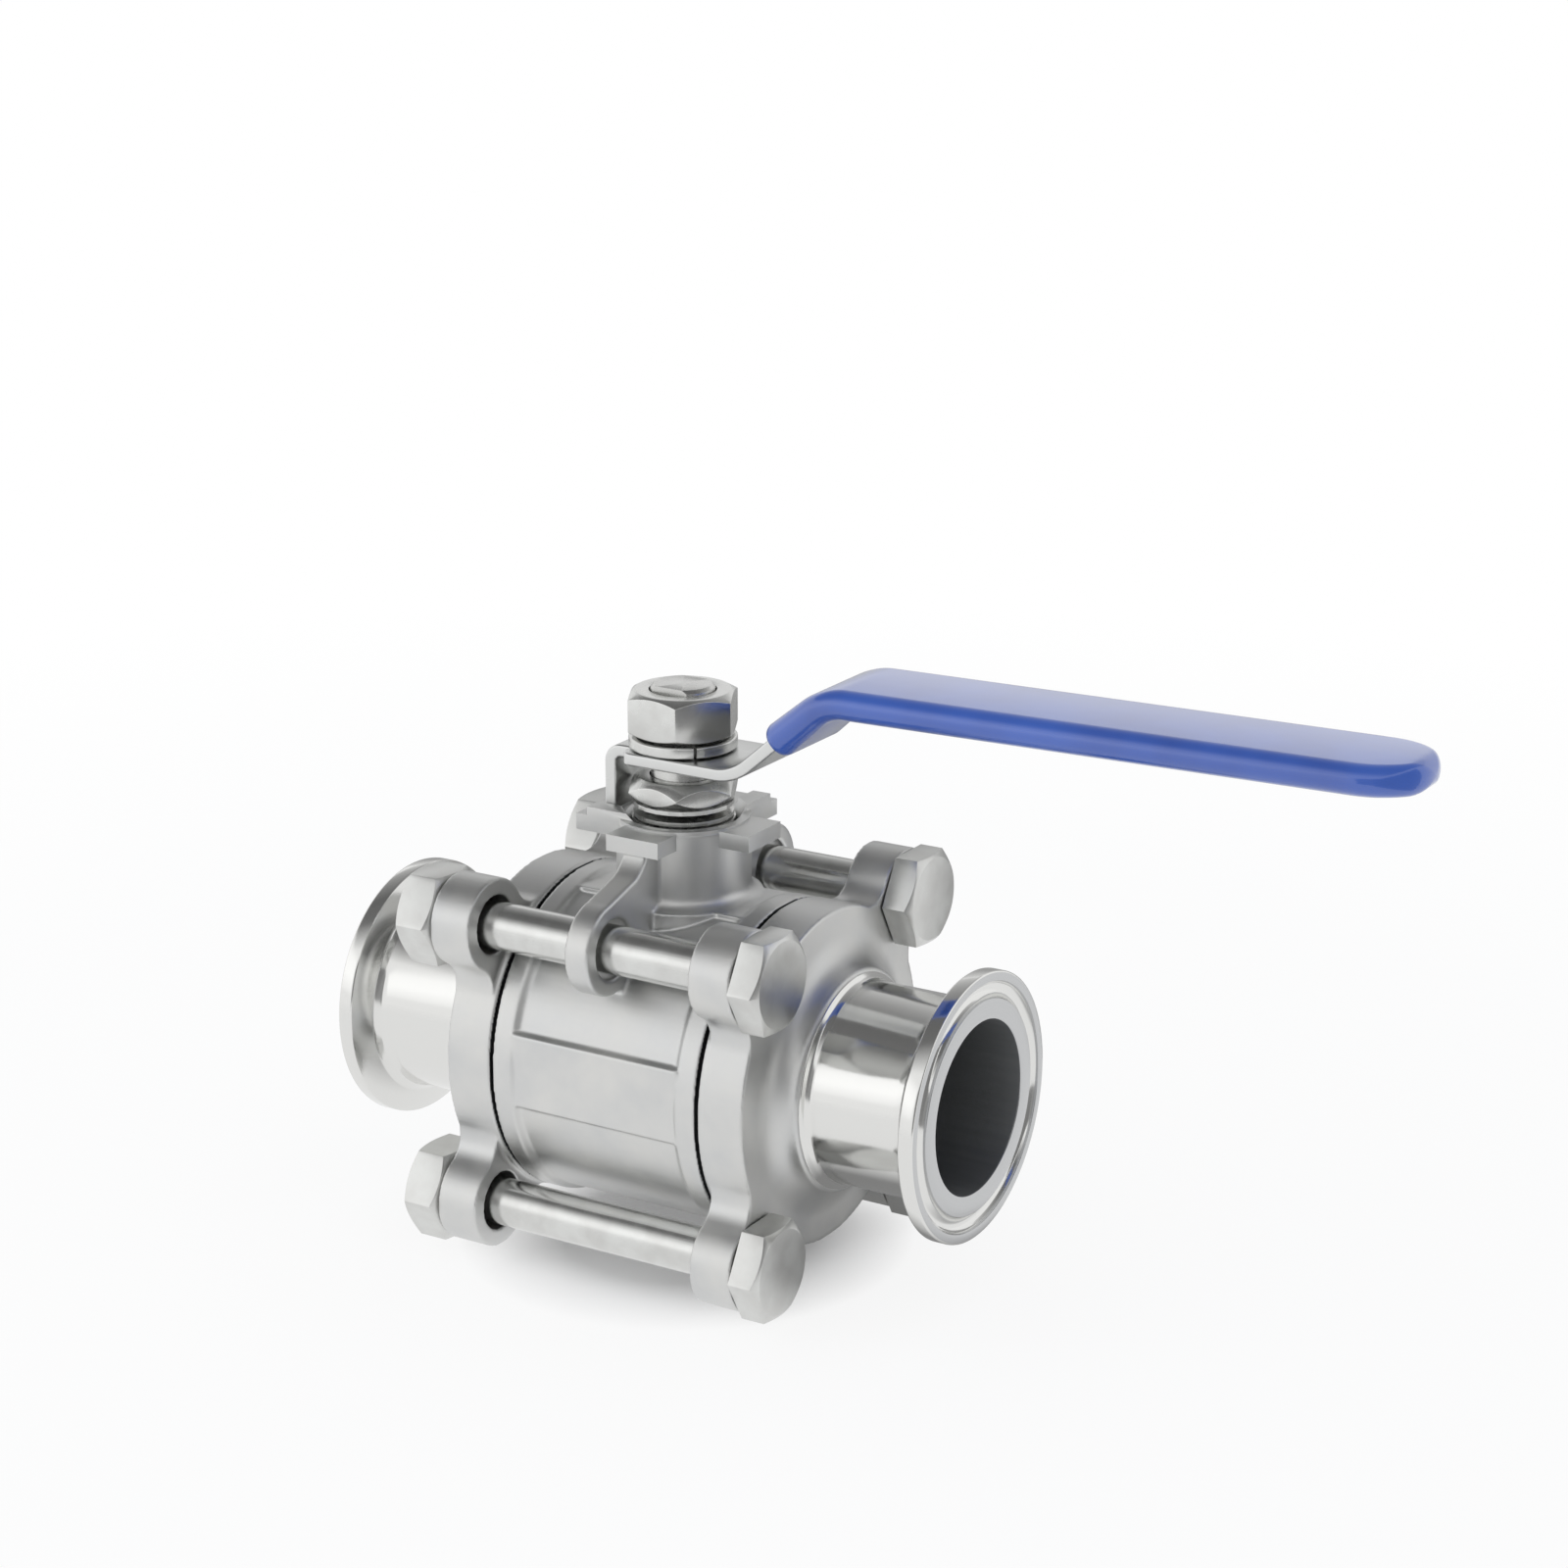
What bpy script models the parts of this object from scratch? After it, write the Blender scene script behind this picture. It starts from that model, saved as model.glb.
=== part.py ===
"""Three-piece ball valve with clamp ferrules and a lever handle.

Metres, +Z up. The origin is the centre of the ball: +X runs along the pipe towards the end that
the lever points at, +Z runs up the stem. The valve is modelled open, with the lever along the pipe.
"""
import math

import bmesh
import bpy
from mathutils import Matrix

GAP = 0.0003                 # between pieces that touch, slide on each other or are welded
EDGE = 0.0005                # chamfer that stands for the cast and machined edge roundings

# Flow passage and ball
BORE_RADIUS = 0.0163         # full port through ferrules, caps, seats and ball
BALL_LAND = 0.0087           # from the bore's wall to the sphere
BALL_RADIUS = BORE_RADIUS + BALL_LAND
CAVITY_CLEARANCE = 0.0006
CAVITY_RADIUS = BALL_RADIUS + CAVITY_CLEARANCE
SLOT_DEPTH = 0.0053          # slot in the top of the ball for the stem's tang
SLOT_FLOOR = BALL_RADIUS - SLOT_DEPTH

# Seat rings, which set where the body ends
SEAT_WIDTH = 0.0052
SEAT_LENGTH = 0.0065
SEAT_BACKING = 0.00235       # plastic behind the edge of the ball's bore
SEAT_RADIUS = BORE_RADIUS + SEAT_WIDTH
SEAT_SPHERE = BALL_RADIUS + GAP
SEAT_BACK = math.sqrt(SEAT_SPHERE ** 2 - BORE_RADIUS ** 2) + SEAT_BACKING
SEAT_FRONT = SEAT_BACK - SEAT_LENGTH

# Centre body
BODY_END = SEAT_BACK + GAP
GASKET_WIDTH = 0.0024
GASKET_DEPTH = 0.0022
GASKET_RADIUS = CAVITY_RADIUS + GASKET_WIDTH
BODY_RIM = 0.0039            # metal outside the gasket
RING_RADIUS = GASKET_RADIUS + BODY_RIM
RING_WIDTH = 0.0044
RING_STEP = 0.0010           # the barrel lies this much below the rings at its ends
RING_START = BODY_END - RING_WIDTH
BARREL_RADIUS = RING_RADIUS - RING_STEP
PAD_HEIGHT = 0.0144          # flat name pad, left bare, on the front and the back
PAD_CENTRE = 0.0012
PAD_RISE = 0.0004
PAD_FACE = BARREL_RADIUS + PAD_RISE
TOP_PAD_HALF_WIDTH = 0.0087
TOP_PAD_DROP = 0.0002        # below the crown of the barrel
TOP_PAD_LEVEL = BARREL_RADIUS - TOP_PAD_DROP

# Tie bolts, with the ears and lugs that they pass through
BOLT_RADIUS = 0.0045
BOLT_CLEARANCE = 0.0011
BOLT_HOLE_RADIUS = BOLT_RADIUS + BOLT_CLEARANCE
BOLT_MARGIN = 0.0014         # between the body's rings and the edge of a bolt hole
BOLT_OFFSET = (RING_RADIUS + BOLT_MARGIN + BOLT_HOLE_RADIUS) / math.sqrt(2)
LUG_WALL = 0.0032
LUG_RADIUS = BOLT_HOLE_RADIUS + LUG_WALL
LUG_FILLET = 0.0055
BOLT_FLATS = 0.0170
BOLT_HEAD_HEIGHT = 0.0056
TIE_NUT_HEIGHT = 0.0077
BOLT_END = 0.0009            # thread beyond the nut
EAR_THICKNESS = 0.0050
EAR_FILLET = 0.0030
EAR_KNEE = 0.0057            # from the bolt to where the ear's upper edge turns up to the tab
EAR_RISE = 0.0012            # and how far that corner lies above the ear's round end

# End caps
SEAM = 0.0003                # dark joint between body and cap
CAP_JOINT = BODY_END + SEAM
CAP_THICKNESS = 0.0099
CAP_FACE = CAP_JOINT + CAP_THICKNESS
CAP_OVERHANG = 0.0001
CAP_RADIUS = RING_RADIUS + CAP_OVERHANG
LUG_SETBACK = 0.0014         # the lugs start this far behind the cap's joint face
SPIGOT_OVERLAP = 0.0008      # the spigot reaches this far past the gasket
SPIGOT_TIP = CAP_JOINT - SEAM - GASKET_DEPTH - SPIGOT_OVERLAP
SPIGOT_RADIUS = CAVITY_RADIUS - GAP
TUBE_WALL = 0.0027
TUBE_RADIUS = BORE_RADIUS + TUBE_WALL
HUB_HEIGHT = 0.0050
HUB_LIP = 0.0022             # collar round the tube
HUB_SPREAD = 0.0057          # fillet from the collar down to the cap's face
HUB_RADIUS = TUBE_RADIUS + HUB_LIP
HUB_TOP = CAP_FACE + HUB_HEIGHT
SOCKET_DEPTH = 0.0032

# Clamp ferrules
TUBE_LENGTH = 0.0258
FERRULE_FACE = HUB_TOP + TUBE_LENGTH
FERRULE_LIP = 0.00625        # from the tube out to the flange's edge
FERRULE_RADIUS = TUBE_RADIUS + FERRULE_LIP
FERRULE_RIM = 0.0029
FERRULE_BEVEL_DEGREES = 20
FERRULE_FILLET = 0.00145
GROOVE_INSET = 0.0035        # from the flange's edge to the middle of the gasket groove
GROOVE_RADIUS = FERRULE_RADIUS - GROOVE_INSET
GROOVE_HALF_WIDTH = 0.0016

# Stem, from the ball upwards
TANG_WIDTH = 0.0140
TANG_THICKNESS = 0.0080
STEM_RADIUS = 0.0070
STEM_FLANGE_STEP = 0.0029
STEM_FLANGE_HEIGHT = 0.0027
STEM_FLANGE_RADIUS = STEM_RADIUS + STEM_FLANGE_STEP
STEM_FLANGE_BASE = CAVITY_RADIUS + GAP
STEM_FLANGE_TOP = STEM_FLANGE_BASE + STEM_FLANGE_HEIGHT
THRUST_WASHER_THICKNESS = 0.0013
THRUST_WASHER_TOP = STEM_FLANGE_TOP + GAP + THRUST_WASHER_THICKNESS
POCKET_TOP = THRUST_WASHER_TOP + GAP
THREAD_STEP = 0.0010
THREAD_RADIUS = STEM_RADIUS - THREAD_STEP
FLAT_DEPTH = 0.0013
STEM_FLATS_HALF = THREAD_RADIUS - FLAT_DEPTH
STEM_END = 0.0010            # thread beyond the lever nut

# Packing chamber in the neck, and what stands in it
STEM_SHOULDER = 0.0037       # body metal between the thrust washer and the packing
CHAMBER_FLOOR = POCKET_TOP + STEM_SHOULDER
PACKING_WIDTH = 0.0030
CHAMBER_RADIUS = STEM_RADIUS + PACKING_WIDTH
CHAMBER_DEPTH = 0.0115
RIM_TOP = CHAMBER_FLOOR + CHAMBER_DEPTH
RIM_CHAMFER = 0.0012
PACKING_RINGS = 3
PACKING_RING_HEIGHT = 0.0020
PACKING_VEE = 0.0006
PACKING_PITCH = PACKING_RING_HEIGHT + GAP
PACKING_TOP = CHAMBER_FLOOR + GAP + PACKING_RINGS * PACKING_PITCH
GLAND_HEIGHT = 0.0040
GLAND_TOP = PACKING_TOP + GLAND_HEIGHT
SPRING_INSET = 0.0006
SPRING_RADIUS = CHAMBER_RADIUS - SPRING_INSET
SPRING_THICKNESS = 0.0008
SPRING_CONE = 0.0005
LOWER_SPRING = GLAND_TOP + GAP
UPPER_SPRING = LOWER_SPRING + SPRING_THICKNESS + SPRING_CONE + GAP
SPRINGS_TOP = UPPER_SPRING + SPRING_THICKNESS + SPRING_CONE

# Neck on top of the body
NECK_WALL = 0.0026
NECK_RADIUS = CHAMBER_RADIUS + NECK_WALL
NECK_FILLET = 0.0024

# Hexagons: a chamfer is where it starts, as a share of the flats, and its slope
HEX_CHAMFER = (0.94, 0.55)
GLAND_NUT_TOP_CHAMFER = (0.895, 1.0)
GLAND_NUT_FOOT_CHAMFER = (0.968, 1.0)
GLAND_NUT_HEIGHT = 0.0045
STEM_NUT_FLATS = 0.0190
STEM_NUT_CORNER = STEM_NUT_FLATS / 2 / math.cos(math.radians(30))
STEM_NUT_HEIGHT = 0.0084
NUT_TURN = 25                # degrees from the -Y direction to a corner of the stem nuts
GLAND_NUT_BASE = SPRINGS_TOP + GAP
GLAND_NUT_TOP = GLAND_NUT_BASE + GLAND_NUT_HEIGHT

# Lever: a strip with a finger bent down behind the stem and a raised grip
LEVER_LIFT = 0.0027          # between the gland nut and the lever
LEVER_THICKNESS = 0.0024
LEVER_HALF = LEVER_THICKNESS / 2
LEVER_LEVEL = GLAND_NUT_TOP + LEVER_LIFT + LEVER_HALF
LEVER_HALF_WIDTH = 0.0095
SHOULDER_BEHIND = 0.0078     # the wide part ends this far behind the stem
SHOULDER_CORNER = 0.0020
FINGER_HALF_WIDTH = 0.0055
FINGER_AIR = 0.00053         # between the gland nut's corner and the finger
FINGER_REACH = STEM_NUT_CORNER + FINGER_AIR + LEVER_HALF
FINGER_CLEARANCE = 0.0004    # between the finger's end and the rim that it passes over
FINGER_BEND = 0.0024
LEVER_BEND_X = 0.0163
LOWER_BEND_RADIUS = 0.0100
RISE_RUN = 0.0191
RISE_HEIGHT = 0.0167
GRIP_BEND_X = LEVER_BEND_X + RISE_RUN
UPPER_BEND_RADIUS = 0.0110
GRIP_LENGTH = 0.1086
GRIP_RISE_DEGREES = 0.9
LEVER_TIP = GRIP_BEND_X + GRIP_LENGTH
WASHER_BASE = LEVER_LEVEL + LEVER_HALF + GAP
WASHER_THICKNESS = 0.0021
WASHER_WIDTH = 0.0038
WASHER_SLIT = 0.0006
LEVER_NUT_BASE = WASHER_BASE + WASHER_THICKNESS + GAP
STEM_TOP = LEVER_NUT_BASE + STEM_NUT_HEIGHT + STEM_END

# Dipped sleeve on the grip
SLEEVE_WALL = 0.0016
SLEEVE_SWELL = 0.0005        # thicker above and below at its open end
SLEEVE_START = 0.0087        # along X, from the lever's lower bend
SLEEVE_SIDES = 20

# Tabs round the neck; two of them carry the stops for the finger
RIM_HEIGHT = 0.0004          # the chamber's rim stands this much above the tabs
TAB_TOP = RIM_TOP - RIM_HEIGHT
TAB_THICKNESS = 0.0031
TAB_HALF_WIDTH = 0.0056
STOP_NEAR = FINGER_HALF_WIDTH + GAP
STOP_WIDTH = 0.0038
STOP_FAR = STOP_NEAR + STOP_WIDTH
STOP_HEIGHT = 0.0016
STOP_MARGIN = 0.0013         # the stops reach this far past the finger
STOP_END = FINGER_REACH + LEVER_HALF + STOP_MARGIN
TAB_MARGIN = 0.0024
TAB_REACH = STOP_END + TAB_MARGIN

ROUND = 40                   # facets round the large turned pieces
NECK_ROUND = 32
SMALL_ROUND = 24             # facets round bolts, nuts and stem pieces
SPHERE_STEPS = 18            # facets along the ball's outline
MERGE = 0.00001


def new_collection(name):
    made = bpy.data.collections.new(name)
    bpy.context.scene.collection.children.link(made)
    return made


def surface(name, colour, roughness, metallic=0.0):
    material = bpy.data.materials.new(name)
    material.use_nodes = True
    shader = material.node_tree.nodes["Principled BSDF"]
    shader.inputs["Base Color"].default_value = (*colour, 1.0)
    shader.inputs["Roughness"].default_value = roughness
    shader.inputs["Metallic"].default_value = metallic
    material.diffuse_color = (*colour, 1.0)
    return material


def steel(name, colour, roughness):
    return surface(name, colour, roughness, metallic=1.0)


def axis_empty(name):
    """An empty on a joint's axis, which is the world's Z axis for the lever and for the ball."""
    empty = bpy.data.objects.new(name, None)
    PARTS.objects.link(empty)
    return empty


def tool_object(name, mesh):
    """A shape that only cuts or joins others: kept, but never rendered."""
    made = bpy.data.objects.new(name, mesh)
    TOOLS.objects.link(made)
    made.hide_render = True
    made.display_type = "WIRE"
    return made


def baked_mesh(shape):
    """The evaluated mesh of a shape with its place applied, welded and facing out."""
    bpy.context.view_layer.update()
    evaluated = shape.evaluated_get(bpy.context.evaluated_depsgraph_get())
    mesh = bpy.data.meshes.new_from_object(evaluated)
    work = bmesh.new()
    work.from_mesh(mesh)
    work.transform(shape.matrix_world)
    bmesh.ops.remove_doubles(work, verts=work.verts, dist=MERGE)
    bmesh.ops.dissolve_degenerate(work, edges=work.edges, dist=MERGE / 2)
    bmesh.ops.recalc_face_normals(work, faces=work.faces)
    work.to_mesh(mesh)
    work.free()
    return mesh


def baked(shape):
    """Replace a shape by a plain mesh object with its modifiers and its place applied."""
    solid = tool_object(shape.name + "_solid", baked_mesh(shape))
    bpy.data.objects.remove(shape)
    return solid


def finish(shape, name, material, parent=None):
    """Turn a shape into a named part with one material and smooth round faces."""
    mesh = baked_mesh(shape)
    mesh.name = name
    mesh.materials.clear()
    mesh.materials.append(material)
    mesh.shade_smooth()
    mesh.set_sharp_from_angle(angle=math.radians(22))
    part = bpy.data.objects.new(name, mesh)
    part.parent = parent
    PARTS.objects.link(part)
    return part


def repeat(part, name, placement):
    """Another copy of a part, sharing its mesh."""
    copy = bpy.data.objects.new(name, part.data)
    copy.matrix_world = placement
    PARTS.objects.link(copy)
    return copy


def mirror_pair(shape, name, material):
    """A part at the right end, and the same part turned half a turn about the stem for the left."""
    right = finish(shape, "right_" + name, material)
    repeat(right, "left_" + name, Matrix.Rotation(math.pi, 4, "Z"))


def combine(target, tools, operation):
    for tool in tools:
        step = target.modifiers.new(operation.lower(), "BOOLEAN")
        step.operation = operation
        step.solver = "EXACT"
        step.object = tool


def join(target, *tools):
    combine(target, tools, "UNION")


def cut(target, *tools):
    combine(target, tools, "DIFFERENCE")


def keep_inside(target, *tools):
    combine(target, tools, "INTERSECT")


def chamfered(shape, width=EDGE):
    """Break the sharp edges of a plate or a box."""
    bevel = shape.modifiers.new("edge", "BEVEL")
    bevel.width = width
    bevel.segments = 1
    bevel.limit_method = "ANGLE"
    bevel.angle_limit = math.radians(60)
    return baked(shape)


def box(name, low, high):
    work = bmesh.new()
    bmesh.ops.create_cube(work, size=1.0)
    size = [h - l for l, h in zip(low, high)]
    middle = [(h + l) / 2 for l, h in zip(low, high)]
    work.transform(Matrix.Translation(middle) @ Matrix.Diagonal((*size, 1.0)))
    mesh = bpy.data.meshes.new(name)
    work.to_mesh(mesh)
    work.free()
    return tool_object(name, mesh)


def along_x():
    """Placement that lays a shape made along +Z down along +X."""
    return Matrix.Rotation(math.pi / 2, 4, "Y")


def facing_x():
    """Placement that stands an (across, up) outline in the YZ plane, its thickness along +X."""
    return Matrix(((0, 0, 1, 0), (1, 0, 0, 0), (0, 1, 0, 0), (0, 0, 0, 1)))


def facing_y():
    """Placement that stands an (along, up) outline in the XZ plane, its thickness along -Y."""
    return Matrix(((1, 0, 0, 0), (0, 0, -1, 0), (0, 1, 0, 0), (0, 0, 0, 1)))


def ring_turned(name, profile, facets=ROUND, placement=None, closed=True):
    """Spin a (radius, height) profile about Z with a Screw modifier, then place it."""
    work = bmesh.new()
    points = [work.verts.new((radius, 0.0, height)) for radius, height in profile]
    pairs = list(zip(points, points[1:]))
    if closed:
        pairs.append((points[-1], points[0]))
    for start, end in pairs:
        work.edges.new((start, end))
    mesh = bpy.data.meshes.new(name)
    work.to_mesh(mesh)
    work.free()
    shape = tool_object(name, mesh)
    screw = shape.modifiers.new("spin", "SCREW")
    screw.angle = 2 * math.pi
    screw.steps = facets
    screw.render_steps = facets
    screw.use_merge_vertices = True
    screw.merge_threshold = MERGE
    if placement is not None:
        shape.matrix_world = placement
    return baked(shape)


def turned(name, profile, facets=ROUND, placement=None):
    """A turned shape with a solid middle: both ends of its profile lie on the axis."""
    return ring_turned(name, profile, facets, placement, closed=False)


def cylinder(name, radius, low, high, facets=SMALL_ROUND, placement=None):
    return turned(name, [(0, high), (radius, high), (radius, low), (0, low)], facets, placement)


def plate(name, outline, low, high, placement):
    """A flat outline given the thickness low to high along its own Z, as a filled 2D curve."""
    curve = bpy.data.curves.new(name, "CURVE")
    curve.dimensions = "2D"
    curve.fill_mode = "BOTH"
    curve.extrude = (high - low) / 2
    spline = curve.splines.new("POLY")
    spline.points.add(len(outline) - 1)
    for point, (across, up) in zip(spline.points, outline):
        point.co = (across, up, 0.0, 1.0)
    spline.use_cyclic_u = True
    flat = bpy.data.objects.new(name, curve)
    TOOLS.objects.link(flat)
    flat.matrix_world = placement @ Matrix.Translation((0, 0, (low + high) / 2))
    return baked(flat)


def arc(centre, radius, start, end, steps):
    """Points on an arc from one angle to the other, in degrees, both ends included."""
    angles = [math.radians(start + (end - start) * i / steps) for i in range(steps + 1)]
    return [(centre[0] + radius * math.cos(a), centre[1] + radius * math.sin(a)) for a in angles]


def rounded_path(corners, radii, step=8):
    """A path through corners in a plane, its inner corners rounded to the given radii."""
    points = [corners[0]]
    for before, corner, after, radius in zip(corners, corners[1:], corners[2:], radii):
        arriving = math.atan2(corner[1] - before[1], corner[0] - before[0])
        leaving = math.atan2(after[1] - corner[1], after[0] - corner[0])
        turn = (leaving - arriving + math.pi) % (2 * math.pi) - math.pi
        side = math.copysign(1, turn)
        back = radius * math.tan(abs(turn) / 2)
        start = (corner[0] - back * math.cos(arriving), corner[1] - back * math.sin(arriving))
        centre = (start[0] - side * radius * math.sin(arriving),
                  start[1] + side * radius * math.cos(arriving))
        first = math.degrees(arriving) - side * 90
        steps = max(2, round(abs(math.degrees(turn)) / step))
        points += arc(centre, radius, first, first + math.degrees(turn), steps)
    points.append(corners[-1])
    return points


def hex_piece(name, flats, low, high, top=HEX_CHAMFER, foot=HEX_CHAMFER):
    """A hexagon along Z with turned chamfers; a chamfer that is None leaves that end square."""
    corner = flats / 2 / math.cos(math.radians(30))
    reach = corner + GAP / 10
    spin = [(0, high)]
    for level, inward, chamfer in ((high, -1, top), (low, 1, foot)):
        if chamfer is None:
            spin.append((reach, level))
            continue
        start = flats / 2 * chamfer[0]
        ends = [(start, level), (reach, level + inward * (reach - start) * chamfer[1])]
        spin += ends if inward < 0 else reversed(ends)
    spin.append((0, low))
    prism = plate(name, arc((0, 0), corner, 0, 300, 5), low, high, Matrix.Identity(4))
    keep_inside(prism, turned(name + "_chamfer", spin, SMALL_ROUND))
    return baked(prism)


def bolt_centres():
    """Names and (across, up) places of the four tie bolts, the two upper ones first."""
    return [(f"{face}_{level}", (side * BOLT_OFFSET, height * BOLT_OFFSET))
            for level, height in (("upper", 1), ("lower", -1))
            for face, side in (("front", -1), ("rear", 1))]


def bolt_holes(name, low, high, places):
    return [cylinder(name, BOLT_HOLE_RADIUS, low, high, SMALL_ROUND,
                     Matrix.Translation((0, across, up)) @ along_x())
            for _, (across, up) in places]


def make_body(material):
    """Cast centre body: ringed barrel, name pads, neck with stop tabs, and two bolt ears."""
    slope = RING_STEP / 2
    barrel = turned("barrel", [
        (0, BODY_END),
        (RING_RADIUS, BODY_END),
        (RING_RADIUS, RING_START + slope),
        (BARREL_RADIUS, RING_START - slope),
        (BARREL_RADIUS, slope - RING_START),
        (RING_RADIUS, -RING_START - slope),
        (RING_RADIUS, -BODY_END),
        (0, -BODY_END),
    ], placement=along_x())
    length = RING_START + slope / 2
    pad_low = PAD_CENTRE - PAD_HEIGHT / 2
    pad_high = PAD_CENTRE + PAD_HEIGHT / 2
    side_pads = box("side_pads", (-length, -PAD_FACE, pad_low), (length, PAD_FACE, pad_high))
    top_pad = box("top_pad", (-length, -TOP_PAD_HALF_WIDTH, 0),
                  (length, TOP_PAD_HALF_WIDTH, TOP_PAD_LEVEL))
    join(barrel, side_pads, top_pad, neck_column(), *stop_tabs(), *bolt_ears())
    cut(barrel, body_cavity(), stem_passage(),
        *bolt_holes("ear_hole", -EAR_THICKNESS, EAR_THICKNESS, bolt_centres()[:2]))
    return finish(barrel, "body", material)


def neck_column():
    """Round neck with a cast fillet at its foot and the packing chamber's rim on top."""
    foot = TOP_PAD_LEVEL - GAP
    fillet = arc((NECK_RADIUS + NECK_FILLET, foot + NECK_FILLET), NECK_FILLET, 180, 270, 4)
    return turned("neck", [
        (0, RIM_TOP),
        (NECK_RADIUS - RIM_HEIGHT, RIM_TOP),
        (NECK_RADIUS, RIM_TOP - RIM_HEIGHT),
        *fillet,
        (NECK_RADIUS + NECK_FILLET, BALL_RADIUS),
        (0, BALL_RADIUS),
    ], NECK_ROUND)


def stop_tabs():
    """Four tabs round the neck; the left and the rear one are wider and carry the stops."""
    low = TAB_TOP - TAB_THICKNESS
    high = TAB_TOP + STOP_HEIGHT
    half = TAB_HALF_WIDTH
    root = CHAMBER_RADIUS / 2
    shapes = [
        box("left_tab", (-TAB_REACH, -STOP_FAR, low), (-root, half, TAB_TOP)),
        box("right_tab", (root, -half, low), (TAB_REACH, half, TAB_TOP)),
        box("front_tab", (-half, -TAB_REACH, low), (half, -root, TAB_TOP)),
        box("rear_tab", (-half, root, low), (STOP_FAR, TAB_REACH, TAB_TOP)),
        box("open_stop", (-STOP_END, -STOP_FAR, low + EDGE), (-root, -STOP_NEAR, high)),
        box("closed_stop", (STOP_NEAR, root, low + EDGE), (STOP_FAR, STOP_END, high)),
    ]
    return [chamfered(shape) for shape in shapes]


def bolt_ears():
    """A flat ear on each upper tie bolt, webbed to the barrel and to the neck."""
    outline = ear_outline()
    mirrored = [(-across, up) for across, up in reversed(outline)]
    half = EAR_THICKNESS / 2
    return [chamfered(plate("front_ear", outline, -half, half, facing_x())),
            chamfered(plate("rear_ear", mirrored, -half, half, facing_x()))]


def ear_outline():
    """The front ear in the YZ plane: a rounded end that widens into barrel and neck."""
    edge = -TAB_REACH + EDGE
    inside_tab = TAB_TOP - TAB_THICKNESS / 2
    top_edge = rounded_path([
        (edge, inside_tab),
        (-BOLT_OFFSET + EAR_KNEE, BOLT_OFFSET + LUG_RADIUS + EAR_RISE),
        (-BOLT_OFFSET, BOLT_OFFSET + LUG_RADIUS),
    ], (EAR_FILLET,), 15)
    round_end = arc((-BOLT_OFFSET, BOLT_OFFSET), LUG_RADIUS, 98, 285, 15)
    return [(-CHAMBER_RADIUS, inside_tab), *top_edge, *round_end,
            (-BALL_RADIUS, CAVITY_RADIUS / 2), (-CHAMBER_RADIUS, BALL_RADIUS)]


def body_cavity():
    """The ball's chamber, with a counterbore for a gasket at each end."""
    shoulder = BODY_END - GASKET_DEPTH
    past = BODY_END + GASKET_DEPTH
    return turned("cavity", [
        (0, past), (GASKET_RADIUS, past), (GASKET_RADIUS, shoulder), (CAVITY_RADIUS, shoulder),
        (CAVITY_RADIUS, -shoulder), (GASKET_RADIUS, -shoulder), (GASKET_RADIUS, -past), (0, -past),
    ], placement=along_x())


def stem_passage():
    """Bore for the stem: thrust pocket below, journal, and the packing chamber above."""
    past = RIM_TOP + RIM_CHAMFER
    journal = STEM_RADIUS + GAP
    pocket = STEM_FLANGE_RADIUS + GAP
    return turned("stem_bore", [
        (0, past),
        (CHAMBER_RADIUS + 2 * RIM_CHAMFER, past),
        (CHAMBER_RADIUS, RIM_TOP - RIM_CHAMFER),
        (CHAMBER_RADIUS, CHAMBER_FLOOR),
        (journal, CHAMBER_FLOOR),
        (journal, POCKET_TOP),
        (pocket, POCKET_TOP),
        (pocket, BORE_RADIUS),
        (0, BORE_RADIUS),
    ], NECK_ROUND)


def unwound(angle, start, direction):
    """The same angle in degrees, counted on from start in the given direction."""
    return start + direction * (direction * (angle - start) % 360)


def lug_outline():
    """Four bolt lugs, each blended to the cap's round edge by hollow fillets."""
    reach = BOLT_OFFSET * math.sqrt(2)
    to_disc = CAP_RADIUS + LUG_FILLET
    to_lug = LUG_RADIUS + LUG_FILLET
    cosine = (to_disc ** 2 + reach ** 2 - to_lug ** 2) / (2 * to_disc * reach)
    spread = math.degrees(math.acos(cosine))
    inside = CAP_RADIUS - LUG_RADIUS
    points = []
    for heading in (45, 135, 225, 315):
        lug = arc((0, 0), reach, heading, heading, 1)[0]
        before = arc((0, 0), to_disc, heading - spread, heading, 1)[0]
        after = arc((0, 0), to_disc, heading + spread, heading, 1)[0]
        into = math.degrees(math.atan2(lug[1] - before[1], lug[0] - before[0]))
        out = math.degrees(math.atan2(lug[1] - after[1], lug[0] - after[0]))
        leave = heading - spread + 180
        first = into + 180
        points += arc(before, LUG_FILLET, leave, unwound(into, leave, -1), 4)
        points += arc(lug, LUG_RADIUS, first, unwound(out + 180, first, 1), 13)[1:]
        points += arc(after, LUG_FILLET, out, unwound(heading + spread + 180, out, -1), 4)[1:]
        points += arc((0, 0), inside, heading + 45, heading, 1)[:1]
    return points


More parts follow.
